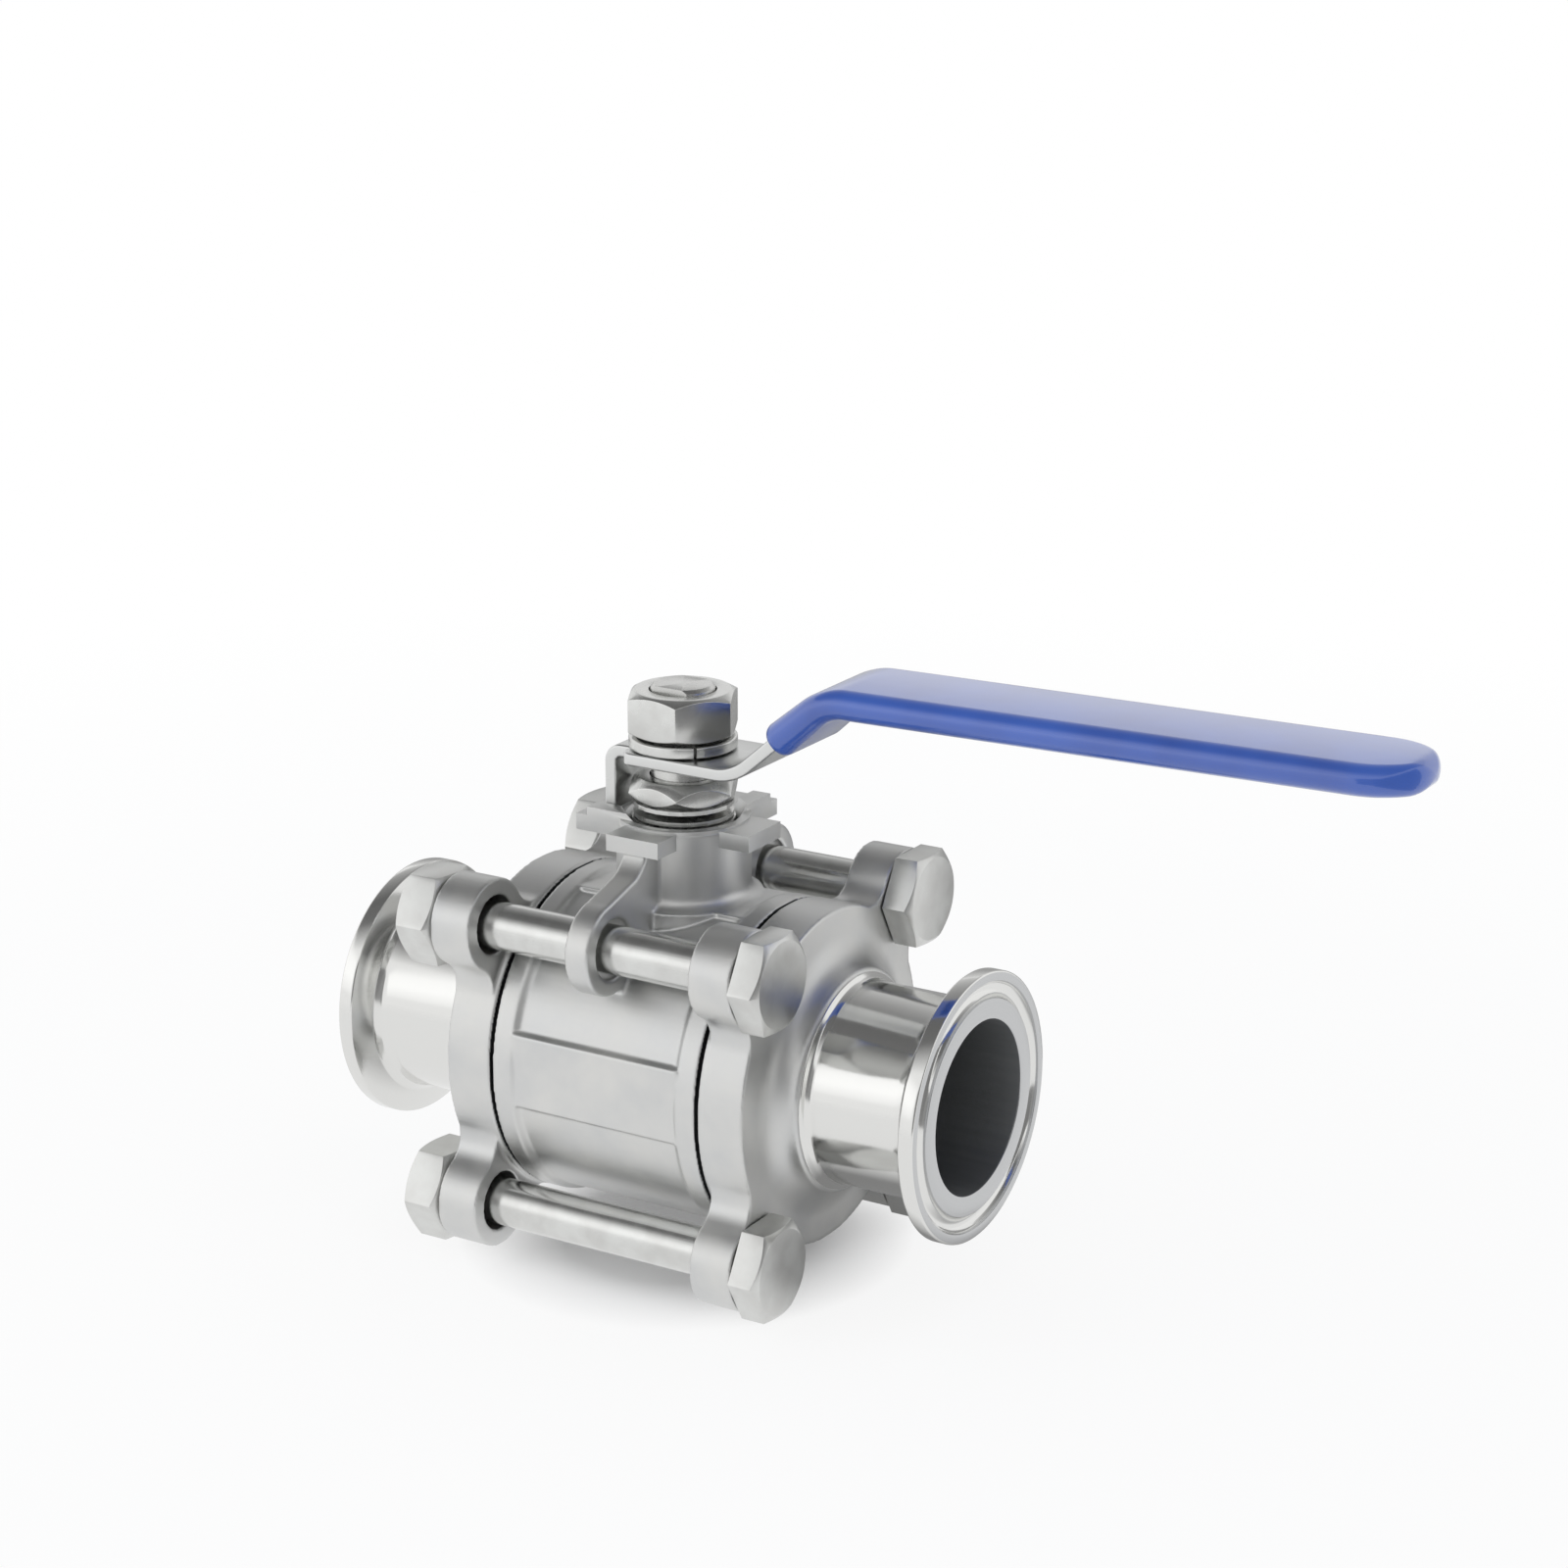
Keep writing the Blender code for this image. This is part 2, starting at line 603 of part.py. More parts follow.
def make_caps(material):
    """End caps: disc with four lugs, spigot into the body, filleted hub with the tube's socket."""
    hub_curve = [(HUB_RADIUS + HUB_SPREAD * (1 - math.cos(angle)),
                  CAP_FACE + (HUB_HEIGHT - EDGE) * (1 - math.sin(angle)))
                 for angle in [math.radians(18 * i) for i in range(6)]]
    cap = turned("cap", [
        (0, HUB_TOP),
        (HUB_RADIUS - EDGE, HUB_TOP),
        *hub_curve,
        (CAP_RADIUS - EDGE, CAP_FACE),
        (CAP_RADIUS, CAP_FACE - EDGE),
        (CAP_RADIUS, CAP_JOINT + GAP),
        (CAP_RADIUS - GAP, CAP_JOINT),
        (SPIGOT_RADIUS, CAP_JOINT),
        (SPIGOT_RADIUS, SPIGOT_TIP),
        (0, SPIGOT_TIP),
    ], placement=along_x())
    lugs = chamfered(plate("lugs", lug_outline(), CAP_JOINT + LUG_SETBACK, CAP_FACE, facing_x()))
    pocket = SEAT_RADIUS + GAP
    socket = TUBE_RADIUS + GAP
    past = HUB_TOP + SOCKET_DEPTH
    passage = turned("cap_passage", [
        (0, past),
        (socket, past),
        (socket, HUB_TOP - SOCKET_DEPTH),
        (BORE_RADIUS, HUB_TOP - SOCKET_DEPTH),
        (BORE_RADIUS, SEAT_BACK + GAP),
        (pocket, SEAT_BACK + GAP),
        (pocket, SPIGOT_TIP - GASKET_DEPTH),
        (0, SPIGOT_TIP - GASKET_DEPTH),
    ], placement=along_x())
    join(cap, lugs)
    cut(cap, passage, *bolt_holes("lug_hole", CAP_JOINT, CAP_FACE + LUG_SETBACK, bolt_centres()))
    mirror_pair(cap, "end_cap", material)


def make_ferrules(material):
    """Clamp ferrules: a tube with a bevelled clamp flange and a gasket groove in its face."""
    rim_back = FERRULE_FACE - FERRULE_RIM
    cone_foot = TUBE_RADIUS + FERRULE_FILLET
    cone_end = rim_back - (FERRULE_RADIUS - cone_foot) * math.tan(math.radians(FERRULE_BEVEL_DEGREES))
    groove = arc((GROOVE_RADIUS, FERRULE_FACE), GROOVE_HALF_WIDTH, 180, 360, 4)
    ferrule = ring_turned("ferrule", [
        (BORE_RADIUS, FERRULE_FACE),
        *groove,
        (FERRULE_RADIUS - GAP, FERRULE_FACE),
        (FERRULE_RADIUS, FERRULE_FACE - GAP),
        (FERRULE_RADIUS, rim_back + GAP),
        (FERRULE_RADIUS - GAP, rim_back),
        (cone_foot, cone_end),
        (TUBE_RADIUS + FERRULE_FILLET / 4, cone_end - FERRULE_FILLET * 0.8),
        (TUBE_RADIUS, cone_end - FERRULE_FILLET * 2),
        (TUBE_RADIUS, HUB_TOP - SOCKET_DEPTH + GAP),
        (BORE_RADIUS, HUB_TOP - SOCKET_DEPTH + GAP),
    ], placement=along_x())
    mirror_pair(ferrule, "ferrule", material)


def make_seats(material):
    """Seat rings: the face towards the ball follows the sphere."""
    first = math.degrees(math.asin(BORE_RADIUS / SEAT_SPHERE))
    last = math.degrees(math.acos(SEAT_FRONT / SEAT_SPHERE))
    contact = [(across, along) for along, across in arc((0, 0), SEAT_SPHERE, last, first, 3)]
    seat = ring_turned("seat", [
        (SEAT_RADIUS, SEAT_BACK), (SEAT_RADIUS, SEAT_FRONT), *contact, (BORE_RADIUS, SEAT_BACK),
    ], placement=along_x())
    mirror_pair(seat, "seat", material)


def make_gaskets(material):
    """Flat joint gaskets in the counterbores of the body."""
    inner = CAVITY_RADIUS + GAP
    outer = GASKET_RADIUS - GAP
    high = CAP_JOINT - GAP
    low = BODY_END - GASKET_DEPTH + GAP
    gasket = ring_turned("gasket", [(outer, high), (outer, low), (inner, low), (inner, high)],
                         placement=along_x())
    mirror_pair(gasket, "body_gasket", material)


def make_ball(material, pivot):
    """Full-bore ball with the slot that takes the stem's tang."""
    outline = [(across, along) for along, across in arc((0, 0), BALL_RADIUS, 0, 180, SPHERE_STEPS)]
    outline[0] = (0, BALL_RADIUS)
    outline[-1] = (0, -BALL_RADIUS)
    ball = turned("sphere", outline, placement=along_x())
    past = BALL_RADIUS + SLOT_DEPTH
    slot_half = TANG_THICKNESS / 2 + GAP
    cut(ball, cylinder("ball_bore", BORE_RADIUS, -past, past, ROUND, along_x()),
        box("ball_slot", (-slot_half, -past, SLOT_FLOOR), (slot_half, past, past)))
    return finish(ball, "ball", material, pivot)


def make_stem(material, pivot):
    """Blow-out proof stem: tang, thrust flange, journal, and a thread with two flats."""
    shoulder = GLAND_TOP - THREAD_STEP
    chamfer = STEM_END * 0.6
    stem = turned("stem_turned", [
        (0, STEM_TOP),
        (THREAD_RADIUS - chamfer, STEM_TOP),
        (THREAD_RADIUS, STEM_TOP - chamfer),
        (THREAD_RADIUS, shoulder + THREAD_STEP),
        (STEM_RADIUS, shoulder),
        (STEM_RADIUS, STEM_FLANGE_TOP),
        (STEM_FLANGE_RADIUS, STEM_FLANGE_TOP),
        (STEM_FLANGE_RADIUS, STEM_FLANGE_BASE),
        (0, STEM_FLANGE_BASE),
    ], SMALL_ROUND)
    thick = TANG_THICKNESS / 2
    wide = TANG_WIDTH / 2
    tang = box("tang", (-thick, -wide, SLOT_FLOOR + GAP), (thick, wide, STEM_FLANGE_BASE + GAP))
    low = LEVER_LEVEL - LEVER_HALF - GAP
    high = STEM_TOP + STEM_END
    join(stem, tang)
    cut(stem,
        box("front_flat", (-STEM_RADIUS, -STEM_RADIUS, low), (STEM_RADIUS, -STEM_FLATS_HALF, high)),
        box("rear_flat", (-STEM_RADIUS, STEM_FLATS_HALF, low), (STEM_RADIUS, STEM_RADIUS, high)))
    return finish(stem, "stem", material, pivot)


def make_thrust_washer(material):
    inner = STEM_RADIUS + GAP
    low = STEM_FLANGE_TOP + GAP
    washer = ring_turned("thrust", [
        (STEM_FLANGE_RADIUS, THRUST_WASHER_TOP), (STEM_FLANGE_RADIUS, low),
        (inner, low), (inner, THRUST_WASHER_TOP),
    ], SMALL_ROUND)
    return finish(washer, "stem_thrust_washer", material)


def make_packing(packing_material, gland_material):
    """Chevron packing rings in the chamber, and the hollow-footed gland follower on top."""
    inner = STEM_RADIUS + GAP
    outer = CHAMBER_RADIUS - GAP
    middle = (inner + outer) / 2
    for number in range(PACKING_RINGS):
        low = CHAMBER_FLOOR + GAP + number * PACKING_PITCH
        high = low + PACKING_RING_HEIGHT
        foot = low + PACKING_VEE if number else low
        ring = ring_turned("packing", [
            (outer, high), (outer, low), (middle, foot), (inner, low), (inner, high),
            (middle, high + PACKING_VEE),
        ], SMALL_ROUND)
        finish(ring, f"packing_ring_{number + 1}", packing_material)
    gland = ring_turned("gland", [
        (outer, GLAND_TOP), (outer, PACKING_TOP), (middle, PACKING_TOP + PACKING_VEE),
        (inner, PACKING_TOP), (inner, GLAND_TOP),
    ], SMALL_ROUND)
    finish(gland, "gland_follower", gland_material)


def make_disc_springs(material, pivot):
    """Two disc springs under the gland nut, set back to back."""
    inner = THREAD_RADIUS + GAP
    levels = ((LOWER_SPRING, LOWER_SPRING + SPRING_CONE), (UPPER_SPRING + SPRING_CONE, UPPER_SPRING))
    for number, (rim, crown) in enumerate(levels, 1):
        spring = ring_turned("disc_spring", [
            (SPRING_RADIUS, rim + SPRING_THICKNESS), (SPRING_RADIUS, rim),
            (inner, crown), (inner, crown + SPRING_THICKNESS),
        ], SMALL_ROUND)
        finish(spring, f"disc_spring_{number}", material, pivot)


def make_stem_nuts(material, pivot):
    """Thin gland nut over the disc springs, and the lever nut on top of the spring washer."""
    turn = Matrix.Rotation(math.radians(NUT_TURN - 30), 4, "Z")
    nuts = (("gland_nut", GLAND_NUT_BASE, GLAND_NUT_TOP, GLAND_NUT_TOP_CHAMFER, GLAND_NUT_FOOT_CHAMFER),
            ("lever_nut", LEVER_NUT_BASE, LEVER_NUT_BASE + STEM_NUT_HEIGHT, HEX_CHAMFER, HEX_CHAMFER))
    for name, low, high, top, foot in nuts:
        nut = hex_piece(name + "_hex", STEM_NUT_FLATS, low, high, top, foot)
        cut(nut, cylinder(name + "_bore", THREAD_RADIUS + GAP, low - GAP, high + GAP))
        nut.matrix_world = turn
        finish(nut, name, material, pivot)


def make_spring_washer(material, pivot):
    """Split spring washer between the lever and its nut."""
    inner = THREAD_RADIUS + GAP
    outer = inner + WASHER_WIDTH
    high = WASHER_BASE + WASHER_THICKNESS
    washer = ring_turned("spring_washer", [
        (outer, high), (outer, WASHER_BASE), (inner, WASHER_BASE), (inner, high),
    ], SMALL_ROUND)
    slit = box("washer_slit", (-WASHER_SLIT / 2, -2 * outer, WASHER_BASE - GAP),
               (WASHER_SLIT / 2, 0, high + GAP))
    slit.matrix_world = Matrix.Rotation(math.radians(45), 4, "Z")
    cut(washer, slit)
    return finish(washer, "lever_spring_washer", material, pivot)


def lever_path():
    """Middle line of the lever in the XZ plane: finger, flat, rise and grip."""
    climb = GRIP_LENGTH * math.tan(math.radians(GRIP_RISE_DEGREES))
    grip_level = LEVER_LEVEL + RISE_HEIGHT
    return rounded_path([
        (-FINGER_REACH, RIM_TOP + FINGER_CLEARANCE),
        (-FINGER_REACH, LEVER_LEVEL),
        (LEVER_BEND_X, LEVER_LEVEL),
        (GRIP_BEND_X, grip_level),
        (LEVER_TIP, grip_level + climb),
    ], (FINGER_BEND, LOWER_BEND_RADIUS, UPPER_BEND_RADIUS))


def path_normals(path):
    """Unit directions across the path at each of its points."""
    normals = []
    for i in range(len(path)):
        before = path[max(i - 1, 0)]
        after = path[min(i + 1, len(path) - 1)]
        length = math.dist(before, after)
        normals.append((-(after[1] - before[1]) / length, (after[0] - before[0]) / length))
    return normals


def offset(path, distance):
    return [(x + nx * distance, z + nz * distance)
            for (x, z), (nx, nz) in zip(path, path_normals(path))]


def lever_plan(grow):
    """Plan outline of the lever: finger, shoulders beside it, long grip with a round end."""
    half = LEVER_HALF_WIDTH + grow
    finger = FINGER_HALF_WIDTH + grow
    behind = -FINGER_REACH - LEVER_THICKNESS
    shoulder = [(SHOULDER_CORNER - SHOULDER_BEHIND, half),
                (-SHOULDER_BEHIND, half - SHOULDER_CORNER), (-SHOULDER_BEHIND, finger)]
    tip = arc((LEVER_TIP - LEVER_HALF_WIDTH, 0), half, -90, 90, 16)
    return [(behind, -finger), *[(x, -y) for x, y in reversed(shoulder)], *tip, *shoulder,
            (behind, finger)]


def bent_strip(name, grow=0.0):
    """The lever as its side outline given a width, kept only inside its plan outline."""
    path = lever_path()
    half = LEVER_HALF + grow
    outline = [*reversed(offset(path, half)), *offset(path, -half)]
    width = 2 * LEVER_HALF_WIDTH
    strip = plate(name, outline, -width, width, facing_y())
    keep_inside(strip, plate(name + "_plan", lever_plan(grow), 0, 2 * STEM_TOP, Matrix.Identity(4)))
    return strip


def make_lever(material, pivot):
    """Lever bent from strip, with its stop finger and a hole that fits the stem's flats."""
    lever = bent_strip("lever_strip")
    low = LEVER_LEVEL - LEVER_THICKNESS
    high = LEVER_LEVEL + LEVER_THICKNESS
    hole = cylinder("lever_hole", THREAD_RADIUS + GAP, low, high)
    half = STEM_FLATS_HALF + GAP
    keep_inside(hole, box("lever_flats", (-STEM_RADIUS, -half, low), (STEM_RADIUS, half, high)))
    cut(lever, baked(hole))
    return finish(lever, "lever", material, pivot)


def stadium(half_width, half_height):
    """Cross-section of the sleeve: flat above and below, round at the sides."""
    flat = max(half_width - half_height, 0)
    quarter = SLEEVE_SIDES // 2
    return [*arc((flat, 0), half_height, -90, 90, quarter),
            *arc((-flat, 0), half_height, 90, 270, quarter)]


def sleeve_stations():
    """Middle points, normals and half sizes of the sleeve's sections, from its mouth to its tip."""
    path = lever_path()
    wide = LEVER_HALF_WIDTH + SLEEVE_WALL
    high = LEVER_HALF + SLEEVE_WALL
    start_x = LEVER_BEND_X + SLEEVE_START
    slope = math.atan2(RISE_HEIGHT, RISE_RUN)
    start_z = LEVER_LEVEL + SLEEVE_START * math.tan(slope)
    across_rise = (-math.sin(slope), math.cos(slope))
    stations = []
    for inset, along in ((0.6, 0.0), (0.18, 0.3), (0.0, 1.0)):
        point = (start_x + along * SLEEVE_WALL * math.cos(slope),
                 start_z + along * SLEEVE_WALL * math.sin(slope))
        stations.append((point, across_rise, wide - inset * SLEEVE_WALL,
                         high + SLEEVE_SWELL - inset * SLEEVE_WALL))
    for point, normal in list(zip(path, path_normals(path)))[:-1]:
        if point[0] > stations[-1][0][0] + GAP:
            left = max(0.0, (GRIP_BEND_X - point[0]) / (GRIP_BEND_X - start_x))
            stations.append((point, normal, wide, high + SLEEVE_SWELL * left))
    level = math.radians(GRIP_RISE_DEGREES)
    across_grip = (-math.sin(level), math.cos(level))
    for degrees in range(0, 90, 12):
        past = wide * math.sin(math.radians(degrees))
        x = LEVER_TIP - LEVER_HALF_WIDTH + past
        z = path[-1][1] + (x - LEVER_TIP) * math.tan(level)
        rounding = max(0.0, past - wide + high)
        stations.append(((x, z), across_grip, wide * math.cos(math.radians(degrees)),
                         math.sqrt(high ** 2 - rounding ** 2)))
    return stations


def make_sleeve(material, pivot):
    """Dipped vinyl sleeve: a lofted rounded skin, open where the lever enters it."""
    work = bmesh.new()
    rings = []
    for (x, z), (nx, nz), half_width, half_height in sleeve_stations():
        rings.append([work.verts.new((x + nx * up, across, z + nz * up))
                      for across, up in stadium(half_width, half_height)])
    for ring, following in zip(rings, rings[1:]):
        for i in range(len(ring)):
            after = (i + 1) % len(ring)
            work.faces.new((ring[i], ring[after], following[after], following[i]))
    work.faces.new(list(reversed(rings[0])))
    work.faces.new(rings[-1])
    mesh = bpy.data.meshes.new("sleeve")
    work.to_mesh(mesh)
    work.free()
    sleeve = baked(tool_object("sleeve", mesh))
    cut(sleeve, baked(bent_strip("sleeve_pocket", GAP)))
    return finish(sleeve, "grip_sleeve", material, pivot)


def make_tie_bolts(material):
    """Four hex bolts with their heads on the right cap, and their nuts on the left cap."""
    head = CAP_FACE + GAP
    seat = -CAP_FACE - GAP
    nut_end = seat - TIE_NUT_HEIGHT
    end = nut_end - BOLT_END
    bolt = turned("bolt_turned", [
        (0, head + GAP), (BOLT_RADIUS, head + GAP), (BOLT_RADIUS, end + BOLT_END / 2),
        (BOLT_RADIUS - BOLT_END / 2, end), (0, end),
    ], SMALL_ROUND)
    join(bolt, hex_piece("bolt_head", BOLT_FLATS, head, head + BOLT_HEAD_HEIGHT, foot=None))
    nut = hex_piece("tie_nut_hex", BOLT_FLATS, nut_end, seat)
    cut(nut, cylinder("tie_nut_bore", BOLT_RADIUS + GAP, nut_end - GAP, seat + GAP))
    for shape, kind in ((bolt, "tie_bolt_"), (nut, "tie_nut_")):
        first = None
        for name, (across, up) in bolt_centres():
            place = Matrix.Translation((0, across, up)) @ along_x() @ Matrix.Rotation(math.pi / 2, 4, "Z")
            if first is None:
                first = finish(shape, kind + name, material)
                first.matrix_world = place
            else:
                repeat(first, kind + name, place)


for old in list(bpy.data.objects):
    bpy.data.objects.remove(old)
PARTS = new_collection("clamp_ball_valve")
TOOLS = new_collection("cutters")
lever_axis = axis_empty("lever_axis")
ball_axis = axis_empty("ball_axis")

cast = steel("cast_stainless", (0.62, 0.62, 0.61), 0.42)
polished = steel("polished_stainless", (0.72, 0.72, 0.71), 0.12)
bright = steel("fastener_steel", (0.66, 0.66, 0.65), 0.22)
strip_steel = steel("lever_steel", (0.70, 0.70, 0.69), 0.30)
ptfe = surface("ptfe", (0.86, 0.86, 0.83), 0.45)
vinyl = surface("blue_vinyl", (0.03, 0.09, 0.46), 0.28)

make_body(cast)
make_caps(cast)
make_ferrules(polished)
make_seats(ptfe)
make_gaskets(ptfe)
make_ball(polished, ball_axis)
make_stem(strip_steel, lever_axis)
make_thrust_washer(ptfe)
make_packing(ptfe, strip_steel)
make_disc_springs(strip_steel, lever_axis)
make_stem_nuts(bright, lever_axis)
make_spring_washer(bright, lever_axis)
make_lever(strip_steel, lever_axis)
make_sleeve(vinyl, lever_axis)
make_tie_bolts(bright)
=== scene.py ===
"""Looks of a three-piece ball valve, pictured open on a white ground.

Shapes are drawn in millimetres and become metres when a piece is finished. +X runs along the pipe
towards the grip's end, +Z runs up the stem, and the ball's centre is the origin.
"""
import math

import bmesh
import bpy
from mathutils import Matrix, Vector


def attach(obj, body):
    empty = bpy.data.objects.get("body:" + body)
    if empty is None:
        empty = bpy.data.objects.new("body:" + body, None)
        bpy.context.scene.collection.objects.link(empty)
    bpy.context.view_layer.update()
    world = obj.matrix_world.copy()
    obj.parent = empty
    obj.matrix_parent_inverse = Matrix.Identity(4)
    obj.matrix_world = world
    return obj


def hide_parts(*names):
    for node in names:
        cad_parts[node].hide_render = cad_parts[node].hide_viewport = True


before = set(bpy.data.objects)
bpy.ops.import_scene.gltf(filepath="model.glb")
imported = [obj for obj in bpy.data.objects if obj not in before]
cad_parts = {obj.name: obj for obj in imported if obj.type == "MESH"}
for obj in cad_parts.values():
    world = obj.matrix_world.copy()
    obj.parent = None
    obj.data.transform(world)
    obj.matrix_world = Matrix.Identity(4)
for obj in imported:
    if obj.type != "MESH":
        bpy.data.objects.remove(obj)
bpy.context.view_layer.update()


# ---------------------------------------------------------------------------------------------
# Centre body
# An investment casting in CF8M stainless steel, bead-blasted after the gates are ground off. Its
# end faces, ball chamber and packing chamber are machined, and all other edges are as cast: round.

def linear(colour):
    """An sRGB hex colour as the linear RGBA that shaders take."""
    parts = [int(colour[i:i + 2], 16) / 255 for i in (1, 3, 5)]
    return (*[c / 12.92 if c <= 0.04045 else ((c + 0.055) / 1.055) ** 2.4 for c in parts], 1.0)


def add(tree, kind, inputs=(), **settings):
    """Add a node; each input is linked if it is a socket, and set if it is a value."""
    node = tree.nodes.new(kind)
    for name, value in settings.items():
        setattr(node, name, value)
    for name, value in dict(inputs).items():
        if isinstance(value, bpy.types.NodeSocket):
            tree.links.new(value, node.inputs[name])
        else:
            node.inputs[name].default_value = value
    return node


def new_finish(name, **sockets):
    """A Principled finish with its constants on the shader's sockets, and object coordinates."""
    material = bpy.data.materials.new(name)
    material.use_nodes = True
    shader = material.node_tree.nodes["Principled BSDF"]
    for socket, value in sockets.items():
        shader.inputs[socket.replace("_", " ")].default_value = value
    place = add(material.node_tree, "ShaderNodeTexCoord").outputs["Object"]
    return material, material.node_tree, shader, place


def set_stops(ramp, *stops):
    """Give a colour ramp its (place, linear colour) stops."""
    ramp.elements.remove(ramp.elements[1])
    for i, (place, colour) in enumerate(stops):
        stop = ramp.elements.new(place) if i else ramp.elements[0]
        stop.position, stop.color = place, colour


def mesh_object(name, mesh):
    made = bpy.data.objects.new(name, mesh)
    bpy.context.scene.collection.objects.link(made)
    return made


def baked(shape):
    """The shape with its modifiers applied, welded and facing outwards."""
    bpy.context.view_layer.update()
    mesh = bpy.data.meshes.new_from_object(shape.evaluated_get(bpy.context.evaluated_depsgraph_get()))
    work = bmesh.new()
    work.from_mesh(mesh)
    work.transform(shape.matrix_world)
    bmesh.ops.remove_doubles(work, verts=work.verts, dist=0.002)
    bmesh.ops.recalc_face_normals(work, faces=work.faces)
    work.to_mesh(mesh)
    work.free()
    name = shape.name
    bpy.data.objects.remove(shape)
    return mesh_object(name, mesh)


def turned(name, profile, facets=144, along="x", ring=False):
    """Spin a profile of (radius, place along the axis) points; a ring closes its own profile."""
    work = bmesh.new()
    rows = []
    for radius, place in profile:
        row = []
        for i in range(facets):
            angle = 2 * math.pi * i / facets
            across, up = radius * math.cos(angle), radius * math.sin(angle)
            row.append(work.verts.new((place, across, up) if along == "x" else (across, up, place)))
        rows.append(row)
    if ring:
        rows.append(rows[0])
    for row, following in zip(rows, rows[1:]):
        for i in range(facets):
            after = (i + 1) % facets
            work.faces.new((row[i], row[after], following[after], following[i]))
    bmesh.ops.remove_doubles(work, verts=work.verts, dist=0.001)
    bmesh.ops.recalc_face_normals(work, faces=work.faces)
    mesh = bpy.data.meshes.new(name)
    work.to_mesh(mesh)
    work.free()
    return mesh_object(name, mesh)


def extruded(name, outline, low, high, facing="z"):
    """A closed outline given thickness along the axis that it faces."""
    place = {"z": lambda a, b, c: (a, b, c), "x": lambda a, b, c: (c, a, b)}[facing]
    work = bmesh.new()
    ends = [[work.verts.new(place(a, b, level)) for a, b in outline] for level in (low, high)]
    for i in range(len(outline)):
        after = (i + 1) % len(outline)
        work.faces.new((ends[0][i], ends[0][after], ends[1][after], ends[1][i]))
    work.faces.new(ends[0])
    work.faces.new(ends[1])
    bmesh.ops.recalc_face_normals(work, faces=work.faces)
    mesh = bpy.data.meshes.new(name)
    work.to_mesh(mesh)
    work.free()
    return mesh_object(name, mesh)


def block(name, low, high):
    return extruded(name, [(low[0], low[1]), (high[0], low[1]), (high[0], high[1]), (low[0], high[1])],
                    low[2], high[2])


def combined(target, operation, *tools):
    """Apply Booleans to the target and remove the tools."""
    for tool in tools:
        step = target.modifiers.new("step", "BOOLEAN")
        step.operation = operation
        step.solver = "EXACT"
        step.object = tool
    result = baked(target)
    for tool in tools:
        bpy.data.objects.remove(tool)
    return result


def arc(centre, radius, start, end, steps):
    angles = [math.radians(start + (end - start) * i / steps) for i in range(steps + 1)]
    return [(centre[0] + radius * math.cos(a), centre[1] + radius * math.sin(a)) for a in angles]


def cast_edges(shape, voxel, passes, keep):
    """Rebuild a shape on fine voxels and relax it, which rounds every edge as casting does."""
    remesh = shape.modifiers.new("voxels", "REMESH")
    remesh.mode = "VOXEL"
    remesh.voxel_size = voxel
    relax = shape.modifiers.new("relax", "SMOOTH")
    relax.factor = 0.5
    relax.iterations = passes
    thin = shape.modifiers.new("thin", "DECIMATE")
    thin.ratio = keep
    return baked(shape)


def eased(shape, width=0.15):
    """Take the sharpness off the edges, as forming and tumbling do."""
    bevel = shape.modifiers.new("ease", "BEVEL")
    bevel.width = width
    bevel.segments = 2
    bevel.limit_method = "ANGLE"
    bevel.angle_limit = math.radians(25)
    return baked(shape)


def finished(shape, name, material, body, slot, *nodes, sharp=None):
    """Turn a shape drawn in millimetres into a piece in metres, standing for the CAD nodes named."""
    mesh = shape.data
    mesh.transform(Matrix.Scale(0.001, 4))
    mesh.name = name
    painted = [face.material_index for face in mesh.polygons]
    mesh.materials.clear()
    for one in material if isinstance(material, (list, tuple)) else [material]:
        mesh.materials.append(one)
    mesh.polygons.foreach_set("material_index", painted)
    mesh.shade_smooth()
    if sharp:
        mesh.set_sharp_from_angle(angle=math.radians(sharp))
    shape.name = name
    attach(shape, body)
    if nodes:
        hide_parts(*nodes)


# Bead-blasted cast stainless: a soft even sheen over a skin like very fine orange peel, with faint
# clouds left by the blasting. The real grain is 0.1 mm; 0.7 mm is the finest that shows here.
cast_finish, tree, shader, place = new_finish("bead_blasted_cast_stainless", Metallic=1.0)
clouds = add(tree, "ShaderNodeTexNoise", {"Vector": place, "Scale": 1000 / 9, "Detail": 3.0})
tone = add(tree, "ShaderNodeValToRGB", {"Fac": clouds.outputs["Fac"]})
set_stops(tone.color_ramp, (0.3, linear("#cfd0d0")), (0.7, linear("#dadad8")))
tree.links.new(tone.outputs["Color"], shader.inputs["Base Color"])
dullness = add(tree, "ShaderNodeMapRange", {"Value": clouds.outputs["Fac"], "From Min": 0.3,
                                            "From Max": 0.7, "To Min": 0.38, "To Max": 0.46})
tree.links.new(dullness.outputs["Result"], shader.inputs["Roughness"])
grain = add(tree, "ShaderNodeTexNoise", {"Vector": place, "Scale": 1000 / 0.7, "Detail": 2.0})
skin = add(tree, "ShaderNodeBump", {"Height": grain.outputs["Fac"], "Strength": 0.12,
                                    "Distance": 0.0001})
tree.links.new(skin.outputs["Normal"], shader.inputs["Normal"])

# The machined joint faces deep in the gap are given a darker colour: painted shade, which draws the
# thin lines between castings.
joint_painted_shade_finish, tree, shader, place = new_finish("greased_joint_face", Metallic=1.0,
                                               Base_Color=linear("#828486"))
joint_roughness_patches = add(tree, "ShaderNodeTexNoise", {"Vector": place, "Scale": 1000 / 3, "Detail": 2.0})
dullness = add(tree, "ShaderNodeMapRange", {"Value": joint_roughness_patches.outputs["Fac"], "To Min": 0.3,
                                            "To Max": 0.55})
tree.links.new(dullness.outputs["Result"], shader.inputs["Roughness"])

RING, BARREL, BODY_END, RING_START = 31.9, 30.9, 22.0, 17.6


